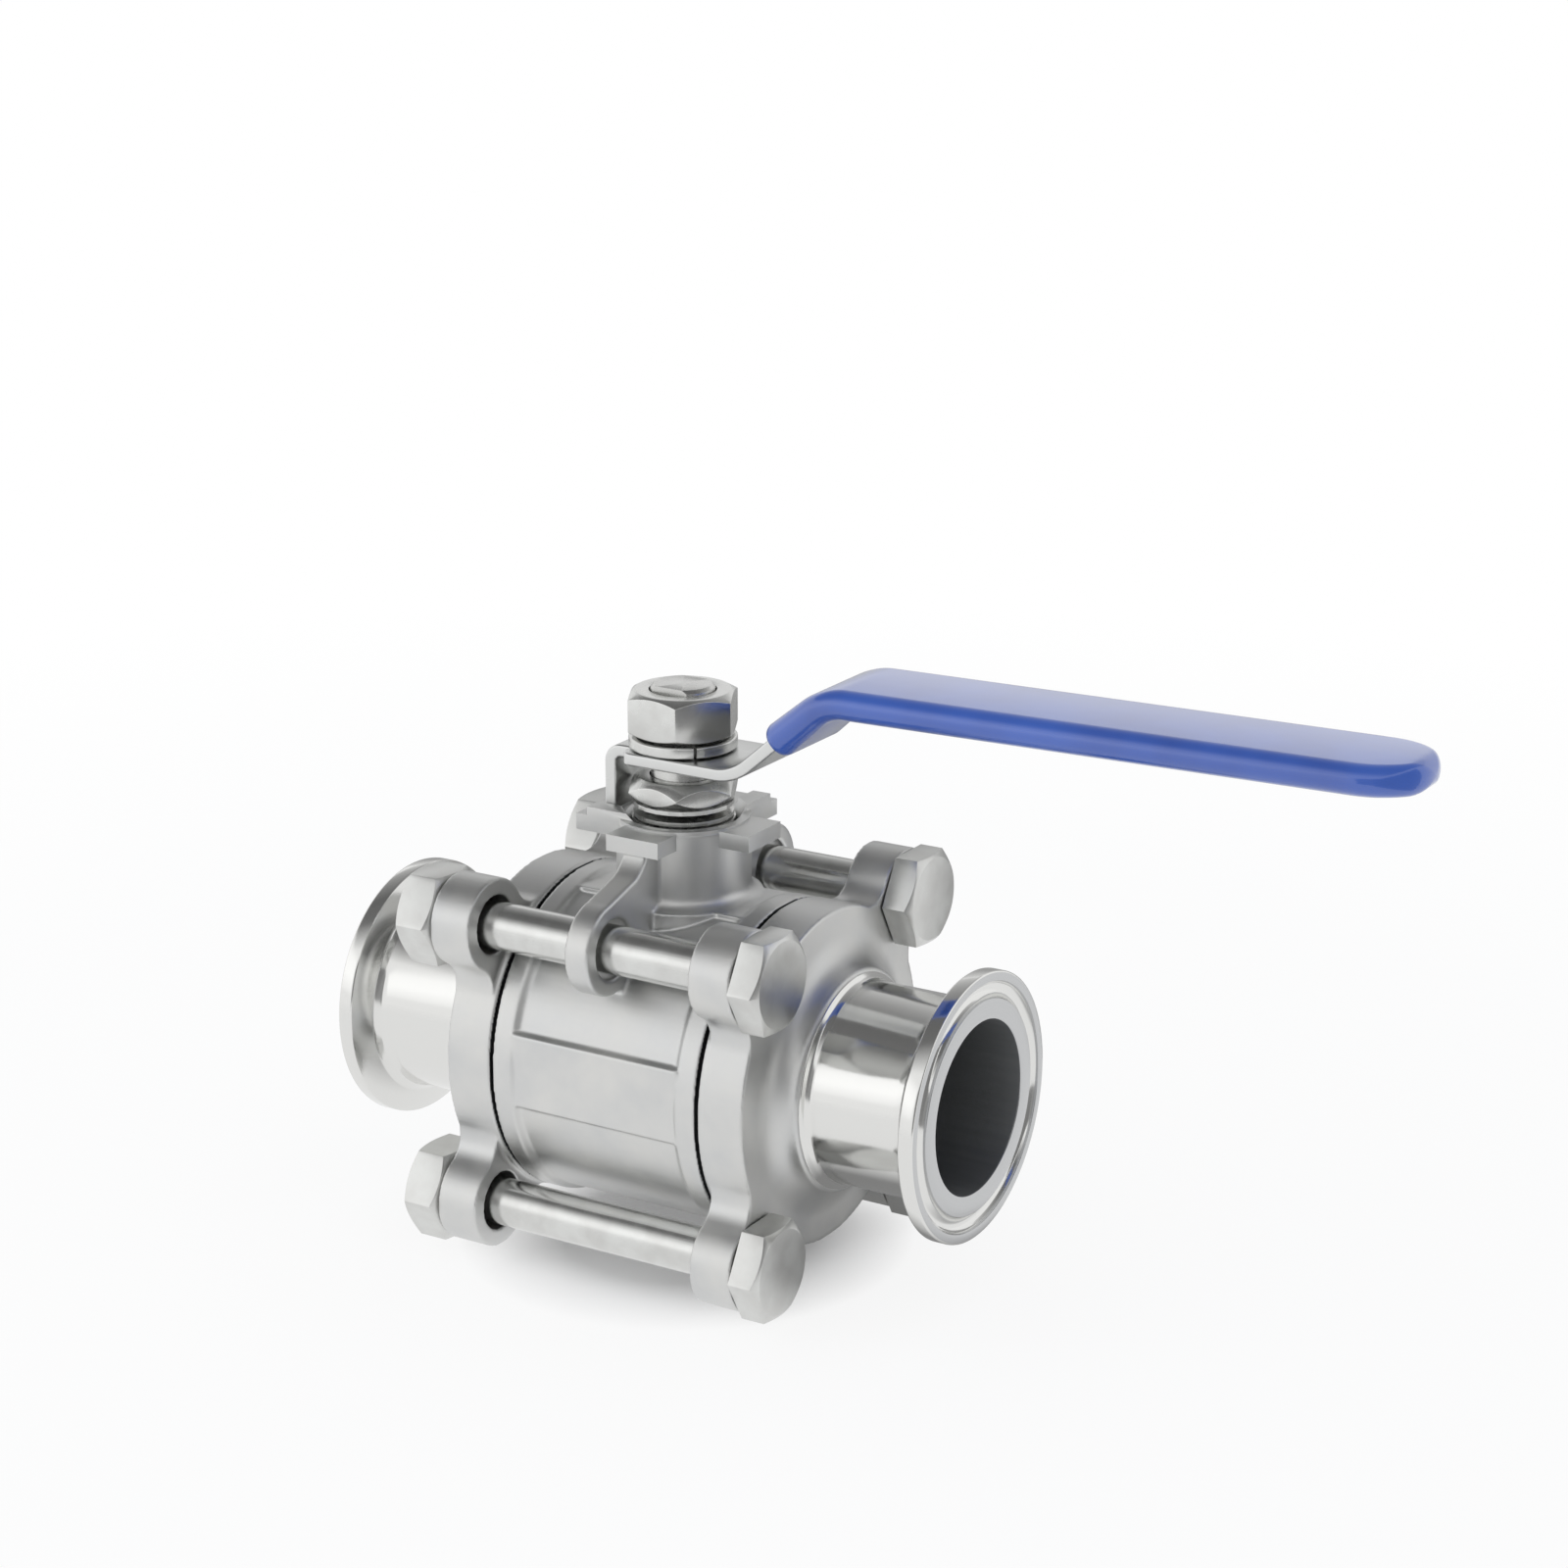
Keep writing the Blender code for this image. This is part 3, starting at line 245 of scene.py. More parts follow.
def joint_painted_shade(mesh):
    """Give the flat faces of the joint between body and cap the second finish, a painted shade, inside
    their edge.
    """
    for face in mesh.polygons:
        x, radius = abs(face.center.x), math.hypot(face.center.y, face.center.z)
        if -0.2 < x - BODY_END < 1.0 and radius < RING - 0.35 and abs(face.normal.x) > 0.7:
            face.material_index = 1


RING_SLOPE = 0.5
NECK, NECK_FILLET, CHAMBER, RIM, JOURNAL = 12.6, 2.4, 10.0, 45.7, 7.3
THRUST_POCKET, THRUST_LEVEL, PACKING_FLOOR = 10.2, 30.5, 34.2
PASSAGE = [
    (0, 48), (12.3, 48), (CHAMBER, RIM - 1.2), (CHAMBER, PACKING_FLOOR), (JOURNAL, PACKING_FLOOR),
    (JOURNAL, THRUST_LEVEL), (THRUST_POCKET, THRUST_LEVEL), (THRUST_POCKET, 16), (0, 16)]
BOLT_OFFSET, BOLT_HOLE, LUG = 27.507, 5.6, 8.8
PAD_HALF, PAD_FACE, PAD_FOOT, PAD_HEAD = 17.85, 31.3, -6.0, 8.4
TOP_PAD_HALF, TOP_PAD_LEVEL, EAR_HALF = 8.7, 30.7, 2.5
CAVITY, GASKET_RADIUS, GASKET_STEP = 25.6, 28.0, 19.8
VOXEL, RELAXING = 0.36, 3

barrel = turned("barrel", [
    (0, BODY_END), (RING, BODY_END), (RING, RING_START + RING_SLOPE),
    (BARREL, RING_START - RING_SLOPE), (BARREL, RING_SLOPE - RING_START),
    (RING, -RING_START - RING_SLOPE), (RING, -BODY_END), (0, -BODY_END)])
neck = turned("neck", [
    (0, RIM - 0.5), (NECK, RIM - 0.5),
    *arc((NECK + NECK_FILLET, TOP_PAD_LEVEL + NECK_FILLET), NECK_FILLET, 180, 270, 12),
    (NECK + NECK_FILLET, 25), (0, 25)], along="z")
# The front ear's outline in Y and Z: out of the neck, round the bolt and back into the barrel.
ear = [(-16.4, 44.0), *arc((-23.2, 44.9), 6.9, 352, 297, 8),
       *arc((-BOLT_OFFSET, BOLT_OFFSET), LUG, 98, 285, 40),
       (-25.0, 12.8), (-10.0, 25.0), (-10.0, 44.0)]
additions = [
    block("side_pads", (-PAD_HALF, -PAD_FACE, PAD_FOOT), (PAD_HALF, PAD_FACE, PAD_HEAD)),
    block("top_pad", (-PAD_HALF, -TOP_PAD_HALF, 0), (PAD_HALF, TOP_PAD_HALF, TOP_PAD_LEVEL)), neck,
    extruded("front_ear", ear, -EAR_HALF, EAR_HALF, "x"),
    extruded("rear_ear", [(-a, b) for a, b in ear], -EAR_HALF, EAR_HALF, "x"),
]
chamber = turned("ball_chamber", [
    (0, 25), (GASKET_RADIUS, 25), (GASKET_RADIUS, GASKET_STEP), (CAVITY, GASKET_STEP),
    (CAVITY, -GASKET_STEP), (GASKET_RADIUS, -GASKET_STEP), (GASKET_RADIUS, -25), (0, -25)])
passage = turned("stem_passage", PASSAGE, along="z")
holes = []
for side in (-1, 1):
    hole = turned("ear_hole", [(0, 5), (BOLT_HOLE, 5), (BOLT_HOLE, -5), (0, -5)], 64)
    hole.data.transform(Matrix.Translation((0, side * BOLT_OFFSET, BOLT_OFFSET)))
    holes.append(hole)
barrel = combined(barrel, "UNION", *additions)
barrel = cast_edges(combined(barrel, "DIFFERENCE", chamber, passage, *holes), VOXEL, RELAXING, 0.33)
# The body's joint faces get the darker colour that paints the shade in the gap.
joint_painted_shade(barrel.data)
finished(barrel, "centre_body", [cast_finish, joint_painted_shade_finish], "valve", "cast_stainless", "body")

# The stop tabs and the rim round the packing are milled after casting, so their edges stay crisp.
# A raised stop on the left tab ends the lever's turn when open, and one on the rear tab when closed.
TAB_REACH, TAB_HALF, TAB_LOW, TAB_TOP = 17.6, 5.6, 42.2, 45.3
STOP_SIDE, STOP_END, STOP_FOOT, STOP_TOP = 9.6, 15.2, 43, TAB_TOP + 1.6
tabs = turned("rim", [(0, RIM), (NECK - 0.1, RIM), (NECK - 0.1, TAB_LOW), (0, TAB_LOW)], along="z")
tabs = combined(
    tabs, "UNION",
    block("left_tab", (-TAB_REACH, -STOP_SIDE, TAB_LOW), (-5, TAB_HALF, TAB_TOP)),
    block("right_tab", (5, -TAB_HALF, TAB_LOW), (TAB_REACH, TAB_HALF, TAB_TOP)),
    block("front_tab", (-TAB_HALF, -TAB_REACH, TAB_LOW), (TAB_HALF, -5, TAB_TOP)),
    block("rear_tab", (-TAB_HALF, 5, TAB_LOW), (STOP_SIDE, TAB_REACH, TAB_TOP)),
    block("open_stop", (-STOP_END, -STOP_SIDE, STOP_FOOT), (-5, -5.8, STOP_TOP)),
    block("closed_stop", (5.8, 5, STOP_FOOT), (STOP_SIDE, STOP_END, STOP_TOP)))
tabs = eased(combined(tabs, "DIFFERENCE", turned("stem_passage", PASSAGE, along="z")), 0.25)
finished(tabs, "stop_tabs", cast_finish, "valve", "cast_stainless", sharp=32)


# ---------------------------------------------------------------------------------------------
# Ball
# Turned and polished from stainless bar, bored through at the full size of the pipe, with a slot
# for the stem. It rides between the two seats and shows through the bore when the valve closes.

# Nearly a mirror under a faint haze of polishing, so the closed ball mirrors the dark bore round it.
ball_finish, tree, shader, place = new_finish("mirror_polished_ball", Base_Color=linear("#d6d6d4"),
                                              Metallic=1.0)
haze = add(tree, "ShaderNodeTexNoise", {"Vector": place, "Scale": 1000 / 6, "Detail": 4.0})
dullness = add(tree, "ShaderNodeMapRange", {"Value": haze.outputs["Fac"], "To Min": 0.06,
                                            "To Max": 0.16})
tree.links.new(dullness.outputs["Result"], shader.inputs["Roughness"])

BALL, BORE, SLOT_HALF, SLOT_FLOOR, BALL_STEPS = 25.0, 16.3, 4.3, 19.7, 64
meridian = [math.pi * i / BALL_STEPS for i in range(BALL_STEPS + 1)]
ball = turned("ball", [(BALL * math.sin(a), BALL * math.cos(a)) for a in meridian], 96)
ball = combined(ball, "DIFFERENCE",
                turned("ball_bore", [(0, 30), (BORE, 30), (BORE, -30), (0, -30)], 96),
                block("ball_slot", (-SLOT_HALF, -30, SLOT_FLOOR), (SLOT_HALF, 30, 30)))
finished(ball, "polished_ball", ball_finish, "ball_group", "polished_stainless", "ball", sharp=30)


# ---------------------------------------------------------------------------------------------
# Seats, gaskets and packing
# Natural PTFE, turned from rod: a waxy white plastic that lets a little light in. The seats press
# on the ball, the gaskets seal the body's joints, and the packing rings seal the stem.

# Light goes 2 mm deep, so the edges of the rings look soft, and faint clouds vary the white.
ptfe_finish, tree, shader, place = new_finish("natural_ptfe", Roughness=0.42, IOR=1.38,
                                              Subsurface_Weight=0.15,
                                              Subsurface_Radius=(0.002, 0.002, 0.0018))
clouds = add(tree, "ShaderNodeTexNoise", {"Vector": place, "Scale": 1000 / 4, "Detail": 3.0})
tone = add(tree, "ShaderNodeValToRGB", {"Fac": clouds.outputs["Fac"]})
set_stops(tone.color_ramp, (0.0, linear("#e6e5df")), (1.0, linear("#f1f0eb")))
tree.links.new(tone.outputs["Color"], shader.inputs["Base Color"])
for name in ("left_seat", "right_seat", "left_body_gasket", "right_body_gasket", "stem_thrust_washer",
             "packing_ring_1", "packing_ring_2", "packing_ring_3"):
    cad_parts[name].data.materials[0] = ptfe_finish


# ---------------------------------------------------------------------------------------------
# End caps
# Cast and blasted like the body, with four bolt lugs on a round cover, a raised hub that takes the
# ferrule's tube, and a machined spigot that centres the cap in the body.
CAP, CAP_JOINT, CAP_FACE, HUB, HUB_TOP = 32.0, 22.3, 32.2, 21.2, 37.2
LUG_FILLET, SWEEP_OUT, SWEEP_UP = 5.5, 5.7, 4.5
SPIGOT, SPIGOT_TIP, SEAT_POCKET, SEAT_FLOOR = 25.3, 19.0, 21.8, 22.0
TUBE_SOCKET, SOCKET_DEPTH = 19.3, 3.2
# A shallow step round the joint face, which makes the dark line between cap and body.
STEP, STEP_RADIUS = 0.5, 30.4


def unwound(angle, start, direction):
    return start + direction * (direction * (angle - start) % 360)


def lug_outline():
    """The four lugs, each blended to the round cover by hollow fillets."""
    reach, to_disc, to_lug = BOLT_OFFSET * math.sqrt(2), CAP + LUG_FILLET, LUG + LUG_FILLET
    spread = math.degrees(math.acos((to_disc ** 2 + reach ** 2 - to_lug ** 2) / (2 * to_disc * reach)))
    points = []
    for heading in (45, 135, 225, 315):
        lug = arc((0, 0), reach, heading, heading, 1)[0]
        before = arc((0, 0), to_disc, heading - spread, heading, 1)[0]
        after = arc((0, 0), to_disc, heading + spread, heading, 1)[0]
        into = math.degrees(math.atan2(lug[1] - before[1], lug[0] - before[0]))
        out = math.degrees(math.atan2(lug[1] - after[1], lug[0] - after[0]))
        leave, first = heading - spread + 180, into + 180
        points += arc(before, LUG_FILLET, leave, unwound(into, leave, -1), 14)
        points += arc(lug, LUG, first, unwound(out + 180, first, 1), 40)[1:]
        points += arc(after, LUG_FILLET, out, unwound(heading + spread + 180, out, -1), 14)[1:]
        points += arc((0, 0), CAP - 8, heading + 45, heading, 1)[:1]
    return points


for side, facing in (("right", 1), ("left", -1)):
    sweep = [math.radians(6 * i) for i in range(16)]
    cap = turned("cap", [
        (0, HUB_TOP), (HUB - 0.5, HUB_TOP),
        *[(HUB + SWEEP_OUT * (1 - math.cos(a)), CAP_FACE + SWEEP_UP * (1 - math.sin(a)))
          for a in sweep],
        (CAP, CAP_FACE), (CAP, CAP_JOINT + STEP), (STEP_RADIUS, CAP_JOINT + STEP),
        (STEP_RADIUS - STEP, CAP_JOINT), (SPIGOT, CAP_JOINT), (SPIGOT, SPIGOT_TIP), (0, SPIGOT_TIP)])
    cap = combined(cap, "UNION", extruded("lugs", lug_outline(), CAP_JOINT + 1.4, CAP_FACE, "x"))
    cutters = [turned("cap_passage", [
        (0, 41), (TUBE_SOCKET, 41), (TUBE_SOCKET, HUB_TOP - SOCKET_DEPTH),
        (BORE, HUB_TOP - SOCKET_DEPTH), (BORE, SEAT_FLOOR), (SEAT_POCKET, SEAT_FLOOR),
        (SEAT_POCKET, 16), (0, 16)])]
    for across in (-BOLT_OFFSET, BOLT_OFFSET):
        for up in (-BOLT_OFFSET, BOLT_OFFSET):
            hole = turned("lug_hole", [(0, 36), (BOLT_HOLE, 36), (BOLT_HOLE, 20), (0, 20)], 64)
            hole.data.transform(Matrix.Translation((0, across, up)))
            cutters.append(hole)
    cap = cast_edges(combined(cap, "DIFFERENCE", *cutters), VOXEL, RELAXING, 0.45)
    # The cap's joint faces get the darker colour that paints the shade in the gap.
    joint_painted_shade(cap.data)
    if facing < 0:
        cap.data.transform(Matrix.Rotation(math.pi, 4, "Z"))
    finished(cap, side + "_cover", [cast_finish, joint_painted_shade_finish], "valve", "cast_stainless",
             side + "_end_cap")


# ---------------------------------------------------------------------------------------------
# Clamp ferrules
# Turned from 316L tube stock and polished bright outside, welded into the caps' hubs. The bevelled
# back of the flange takes the clamp, and the groove in its face takes the gasket.

# Mirror-like, but the rings that polishing leaves round the tube blur the reflections along it. They
# are 0.05 mm apart in life and drawn 0.8 mm apart: noise that is stretched round the pipe's axis.
ferrule_finish, tree, shader, place = new_finish("polished_316l_tube", Base_Color=linear("#e2e2e0"),
                                                 Metallic=1.0)
stretch = add(tree, "ShaderNodeMapping", {"Vector": place, "Scale": (1.0, 0.04, 0.04)})
rings = add(tree, "ShaderNodeTexNoise", {"Vector": stretch.outputs["Vector"], "Scale": 1000 / 0.8,
                                         "Detail": 2.0})
dullness = add(tree, "ShaderNodeMapRange", {"Value": rings.outputs["Fac"], "To Min": 0.09,
                                            "To Max": 0.17})
tree.links.new(dullness.outputs["Result"], shader.inputs["Roughness"])
lines = add(tree, "ShaderNodeBump", {"Height": rings.outputs["Fac"], "Strength": 0.04,
                                     "Distance": 0.0001})
tree.links.new(lines.outputs["Normal"], shader.inputs["Normal"])

# The bore is left as drawn: dull and streaked along the tube, and its colour is darkened as painted
# shade deep inside the tube.
bore_painted_shade_finish, tree, shader, place = new_finish("drawn_tube_bore", Metallic=1.0, Roughness=0.6)
stretch = add(tree, "ShaderNodeMapping", {"Vector": place, "Scale": (0.08, 1.0, 1.0)})
streaks = add(tree, "ShaderNodeTexNoise", {"Vector": stretch.outputs["Vector"], "Scale": 1000 / 1.5,
                                           "Detail": 3.0})
tone = add(tree, "ShaderNodeValToRGB", {"Fac": streaks.outputs["Fac"]})
set_stops(tone.color_ramp, (0.0, linear("#8c8e90")), (1.0, linear("#9a9c9e")))
tree.links.new(tone.outputs["Color"], shader.inputs["Base Color"])

# The gasket face is faced off on the lathe, so it is duller and greyer than the bright rim. The
# tool's rings are 0.1 mm apart in life and drawn 0.5 mm apart, as that is the finest that shows.
face_finish, tree, shader, place = new_finish("faced_316l_flange", Base_Color=linear("#c4c5c6"),
                                              Metallic=1.0)
apart = add(tree, "ShaderNodeSeparateXYZ", {"Vector": place})
across = add(tree, "ShaderNodeCombineXYZ", {"Y": apart.outputs["Y"], "Z": apart.outputs["Z"]})
radius = add(tree, "ShaderNodeVectorMath", {0: across.outputs["Vector"]}, operation="LENGTH")
cuts = add(tree, "ShaderNodeTexNoise", {"W": radius.outputs["Value"], "Scale": 1000 / 0.5,
                                        "Detail": 1.0}, noise_dimensions="1D")
dullness = add(tree, "ShaderNodeMapRange", {"Value": cuts.outputs["Fac"], "To Min": 0.16,
                                            "To Max": 0.3})
tree.links.new(dullness.outputs["Result"], shader.inputs["Roughness"])
lines = add(tree, "ShaderNodeBump", {"Height": cuts.outputs["Fac"], "Strength": 0.08,
                                     "Distance": 0.0001})
tree.links.new(lines.outputs["Normal"], shader.inputs["Normal"])


def softened(profile, radius):
    """The same closed profile with each corner cut back by a small arc of three steps."""
    points = []
    vectors = [Vector(point) for point in profile]
    for before, corner, after in zip([vectors[-1], *vectors], vectors, [*vectors[1:], vectors[0]]):
        back, on = before - corner, after - corner
        reach = min(radius, back.length / 2.2, on.length / 2.2)
        if back.angle(on) > math.radians(165) or reach < 0.01:
            points.append(tuple(corner))
            continue
        start, end = corner + back.normalized() * reach, corner + on.normalized() * reach
        for i in range(4):
            t = i / 3
            points.append(tuple(start * (1 - t) ** 2 + corner * 2 * t * (1 - t) + end * t ** 2))
    return points


FACE, FLANGE, TUBE, TUBE_FOOT, CORNER = 63.0, 25.25, 19.0, 34.3, 0.35
GROOVE, GROOVE_HALF = 21.75, 1.6


def ferrule_faces(mesh):
    """Give the bore of a ferrule its second finish, and its gasket face the third."""
    for face in mesh.polygons:
        radius = math.hypot(face.center.y, face.center.z)
        if radius < BORE + 0.05:
            face.material_index = 1
        elif abs(face.center.x) > FACE - 0.5 and radius < FLANGE - CORNER:
            face.material_index = 2


for side, facing in (("right", 1), ("left", -1)):
    flange = [(BORE, FACE), (GROOVE - GROOVE_HALF, FACE),
              *arc((GROOVE, FACE), GROOVE_HALF, 190, 350, 10),
              (GROOVE + GROOVE_HALF, FACE), (FLANGE, FACE)]
    bevel = [(FLANGE, 60.1), (20.45, 58.35), (19.36, 57.2), (TUBE, 55.5)]
    weld = [(TUBE, 38.7), (19.4, 37.9), (20.4, 37.3), (20.4, 36.9), (TUBE, 36.9)]
    profile = softened([*flange, *bevel, *weld, (TUBE, TUBE_FOOT), (BORE, TUBE_FOOT)], CORNER)
    ferrule = turned("ferrule", profile, 192, ring=True)
    if facing < 0:
        ferrule.data.transform(Matrix.Rotation(math.pi, 4, "Z"))
    ferrule_faces(ferrule.data)
    finished(ferrule, side + "_clamp_ferrule", [ferrule_finish, bore_painted_shade_finish, face_finish], "valve",
             "polished_stainless", side + "_ferrule", sharp=35)


# ---------------------------------------------------------------------------------------------
# Tie bolts and nuts
# M10 hex bolts and nuts, cold-formed from A2 stainless: bright, with chamfered corners. They clamp
# the body between the caps, so all four stand at the corners of one square round the pipe.

# Bright steel with a faintly patchy sheen, as the dies leave it. Tumbling then dulls the heads and
# nuts outside the caps, and those on the stem, while the drawn shanks between the caps stay bright.
bolt_finish, tree, shader, place = new_finish("cold_formed_a2_stainless", Metallic=1.0)
patches = add(tree, "ShaderNodeTexNoise", {"Vector": place, "Scale": 1000 / 5, "Detail": 4.0})
tone = add(tree, "ShaderNodeValToRGB", {"Fac": patches.outputs["Fac"]})
set_stops(tone.color_ramp, (0.35, linear("#cfcfcd")), (0.65, linear("#dadbd9")))
tree.links.new(tone.outputs["Color"], shader.inputs["Base Color"])
dullness = add(tree, "ShaderNodeMapRange", {"Value": patches.outputs["Fac"], "From Min": 0.3,
                                            "From Max": 0.7, "To Min": 0.14, "To Max": 0.22})
apart = add(tree, "ShaderNodeSeparateXYZ", {"Vector": place})
along = add(tree, "ShaderNodeMath", {0: apart.outputs["X"]}, operation="ABSOLUTE")
outside = add(tree, "ShaderNodeMapRange", {"Value": along.outputs[0], "From Min": 0.0318,
                                           "From Max": 0.0326, "To Max": 0.14})
above = add(tree, "ShaderNodeMapRange", {"Value": apart.outputs["Z"], "From Min": 0.040,
                                         "From Max": 0.041, "To Max": 0.08})
tumbled = add(tree, "ShaderNodeMath", {0: outside.outputs["Result"], 1: above.outputs["Result"]},
              operation="MAXIMUM")
dullness = add(tree, "ShaderNodeMath", {0: dullness.outputs["Result"], 1: tumbled.outputs[0]},
               operation="ADD")
tree.links.new(dullness.outputs[0], shader.inputs["Roughness"])


def hexagon(name, flats, low, high, top=(0.94, 0.55), foot=(0.94, 0.55), turn=0.0):
    """A hexagon along Z, its corners taken back by turned chamfers: (share of the flats, slope)."""
    corner = flats / 2 / math.cos(math.radians(30))
    spin = [(0, high)]
    for level, inward, chamfer in ((high, -1, top), (low, 1, foot)):
        if chamfer is None:
            spin.append((corner + 0.05, level))
            continue
        start = flats / 2 * chamfer[0]
        ends = [(start, level), (corner + 0.05, level + inward * (corner + 0.05 - start) * chamfer[1])]
        spin += ends if inward < 0 else reversed(ends)
    spin.append((0, low))
    prism = extruded(name, arc((0, 0), corner, turn, turn + 300, 5), low - 1, high + 1)
    return combined(prism, "INTERSECT", turned("chamfers", spin, 120, along="z"))


# One tree sets a bolt or a nut at each of the four corners.
square = bpy.data.node_groups.new("four_corners", "GeometryNodeTree")
for label, kind in (("Geometry", "Geometry"), ("Spacing", "Float"), ("Fastener", "Object"),
                    ("Finish", "Material")):
    square.interface.new_socket(label, in_out="INPUT", socket_type="NodeSocket" + kind)
square.interface.new_socket("Geometry", in_out="OUTPUT", socket_type="NodeSocketGeometry")
given = add(square, "NodeGroupInput")
grid = add(square, "GeometryNodeMeshGrid", {
    "Size X": given.outputs["Spacing"], "Size Y": given.outputs["Spacing"],
    "Vertices X": 2, "Vertices Y": 2})
stood = add(square, "GeometryNodeTransform", {"Geometry": grid.outputs["Mesh"],
                                              "Rotation": (0, math.radians(90), 0)})
one = add(square, "GeometryNodeObjectInfo", {"Object": given.outputs["Fastener"]})
placed = add(square, "GeometryNodeInstanceOnPoints", {"Points": stood.outputs["Geometry"],
                                                      "Instance": one.outputs["Geometry"]})
solid = add(square, "GeometryNodeRealizeInstances", {"Geometry": placed.outputs["Instances"]})
coloured = add(square, "GeometryNodeSetMaterial", {"Geometry": solid.outputs["Geometry"],
                                                   "Material": given.outputs["Finish"]})
add(square, "NodeGroupOutput", {"Geometry": coloured.outputs["Geometry"]})


def grown(name, tree, **inputs):
    """A plain mesh object made by a Geometry Nodes tree from its named inputs."""
    holder = mesh_object(name, bpy.data.meshes.new(name))
    step = holder.modifiers.new("grow", "NODES")
    step.node_group = tree
    named = {item.name: item.identifier for item in tree.interface.items_tree
             if item.in_out == "INPUT"}
    for label, value in inputs.items():
        step[named[label]] = value
    return baked(holder)


def bored(nut, radius, low, high):
    """A nut that stands along Z, with its hole through it."""
    bore = turned("nut_bore", [(0, high), (radius, high), (radius, low), (0, low)], 72, along="z")
    return combined(nut, "DIFFERENCE", bore)


# A nut is bored 0.3 mm larger in radius than its plain thread, as in the CAD.
HEAD_SEAT, BOLT_FLATS, HEAD_HIGH, TIE_NUT_HIGH = 32.5, 17.0, 5.6, 7.7
SHANK, BOLT_END, CLEAR = 4.5, -41.1, 0.3
LAID_ALONG_X = Matrix.Rotation(math.pi / 2, 4, "Y") @ Matrix.Rotation(math.pi / 2, 4, "Z")
shank = turned("shank", [(0, 33), (SHANK, 33), (SHANK, BOLT_END + 0.5), (SHANK - 0.6, BOLT_END),
                         (0, BOLT_END)], 72)
head = hexagon("head", BOLT_FLATS, HEAD_SEAT, HEAD_SEAT + HEAD_HIGH, foot=None)
head.data.transform(LAID_ALONG_X)
bolt = combined(shank, "UNION", eased(head))
nut = hexagon("nut", BOLT_FLATS, -HEAD_SEAT - TIE_NUT_HIGH, -HEAD_SEAT)
nut = eased(bored(nut, SHANK + CLEAR, -42, -30))
nut.data.transform(LAID_ALONG_X)
corners = ("front_upper", "rear_upper", "front_lower", "rear_lower")
for name, fastener, kind in (("tie_bolts", bolt, "tie_bolt_"), ("tie_nuts", nut, "tie_nut_")):
    four = grown(name + "_made", square, Spacing=2 * BOLT_OFFSET, Fastener=fastener,
                 Finish=bolt_finish)
    finished(four, name, bolt_finish, "valve", "fastener_steel", *[kind + c for c in corners],
             sharp=30)
    bpy.data.objects.remove(fastener)


# ---------------------------------------------------------------------------------------------
# Stem train
# The stem is turned from 316 bar, with a thread and two flats on top. It turns in the packing, and
# disc springs under a thin nut keep the packing pressed as it wears.

# Plain machined steel, greyer than the polish: turning marks blur the light up the stem. They are
# 0.1 mm apart in life and drawn 0.4 mm apart to show.
stem_finish, tree, shader, place = new_finish("machined_316_bar", Base_Color=linear("#cbcbc9"),
                                              Metallic=1.0)
stretch = add(tree, "ShaderNodeMapping", {"Vector": place, "Scale": (0.15, 0.15, 1.0)})
marks = add(tree, "ShaderNodeTexNoise", {"Vector": stretch.outputs["Vector"], "Scale": 1000 / 0.4})
dullness = add(tree, "ShaderNodeMapRange", {"Value": marks.outputs["Fac"], "To Min": 0.2,
                                            "To Max": 0.34})
tree.links.new(dullness.outputs["Result"], shader.inputs["Roughness"])

STEM, THREAD, STEM_TOP, THREAD_FOOT = 7.0, 6.0, 70.6, 45.4
THRUST, THRUST_TOP, THRUST_FOOT, TANG_HALF, TANG_FOOT = 9.9, 28.6, 25.9, 4.0, 20.0
STEM_FLAT, FLAT_FOOT = 4.7, 55.8
stem = turned("stem", [
    (0, STEM_TOP), (THREAD - 0.6, STEM_TOP), (THREAD, STEM_TOP - 0.6), (THREAD, THREAD_FOOT),
    (STEM, THREAD_FOOT - 1.0), (STEM, THRUST_TOP), (THRUST, THRUST_TOP), (THRUST, THRUST_FOOT),
    (0, THRUST_FOOT)], 96, along="z")
tang = block("tang", (-TANG_HALF, -STEM, TANG_FOOT), (TANG_HALF, STEM, THRUST_FOOT + 0.3))
stem = combined(stem, "UNION", tang)
stem = combined(stem, "DIFFERENCE", block("front_flat", (-8, -8, FLAT_FOOT), (8, -STEM_FLAT, 72)),
                block("rear_flat", (-8, STEM_FLAT, FLAT_FOOT), (8, 8, 72)))
finished(eased(stem, 0.1), "threaded_stem", stem_finish, "lever_group", "lever_steel", "stem",
         sharp=30)
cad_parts["gland_follower"].data.materials[0] = stem_finish
for name in ("disc_spring_1", "disc_spring_2"):
    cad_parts[name].data.materials[0] = bolt_finish

# Both M12 nuts stand turned by the same angle: a corner of each is 5 degrees clockwise from +X.
NUT_FLATS, NUT_TURN, GLAND_FOOT, GLAND_TOP = 19.0, -5, 48.9, 53.4
gland_nut = hexagon("gland_nut", NUT_FLATS, GLAND_FOOT, GLAND_TOP, top=(0.895, 1.0),
                    foot=(0.968, 1.0), turn=NUT_TURN)
gland_nut = eased(bored(gland_nut, THREAD + CLEAR, 40, 60), 0.12)
finished(gland_nut, "thin_gland_nut", bolt_finish, "lever_group", "fastener_steel", "gland_nut",
         sharp=30)


# ---------------------------------------------------------------------------------------------
# Lever
# Cut and bent from 2.4 mm stainless strip, tumbled so that its edges are soft, with a satin grain
# along it. The finger behind the stem runs against the body's stops.

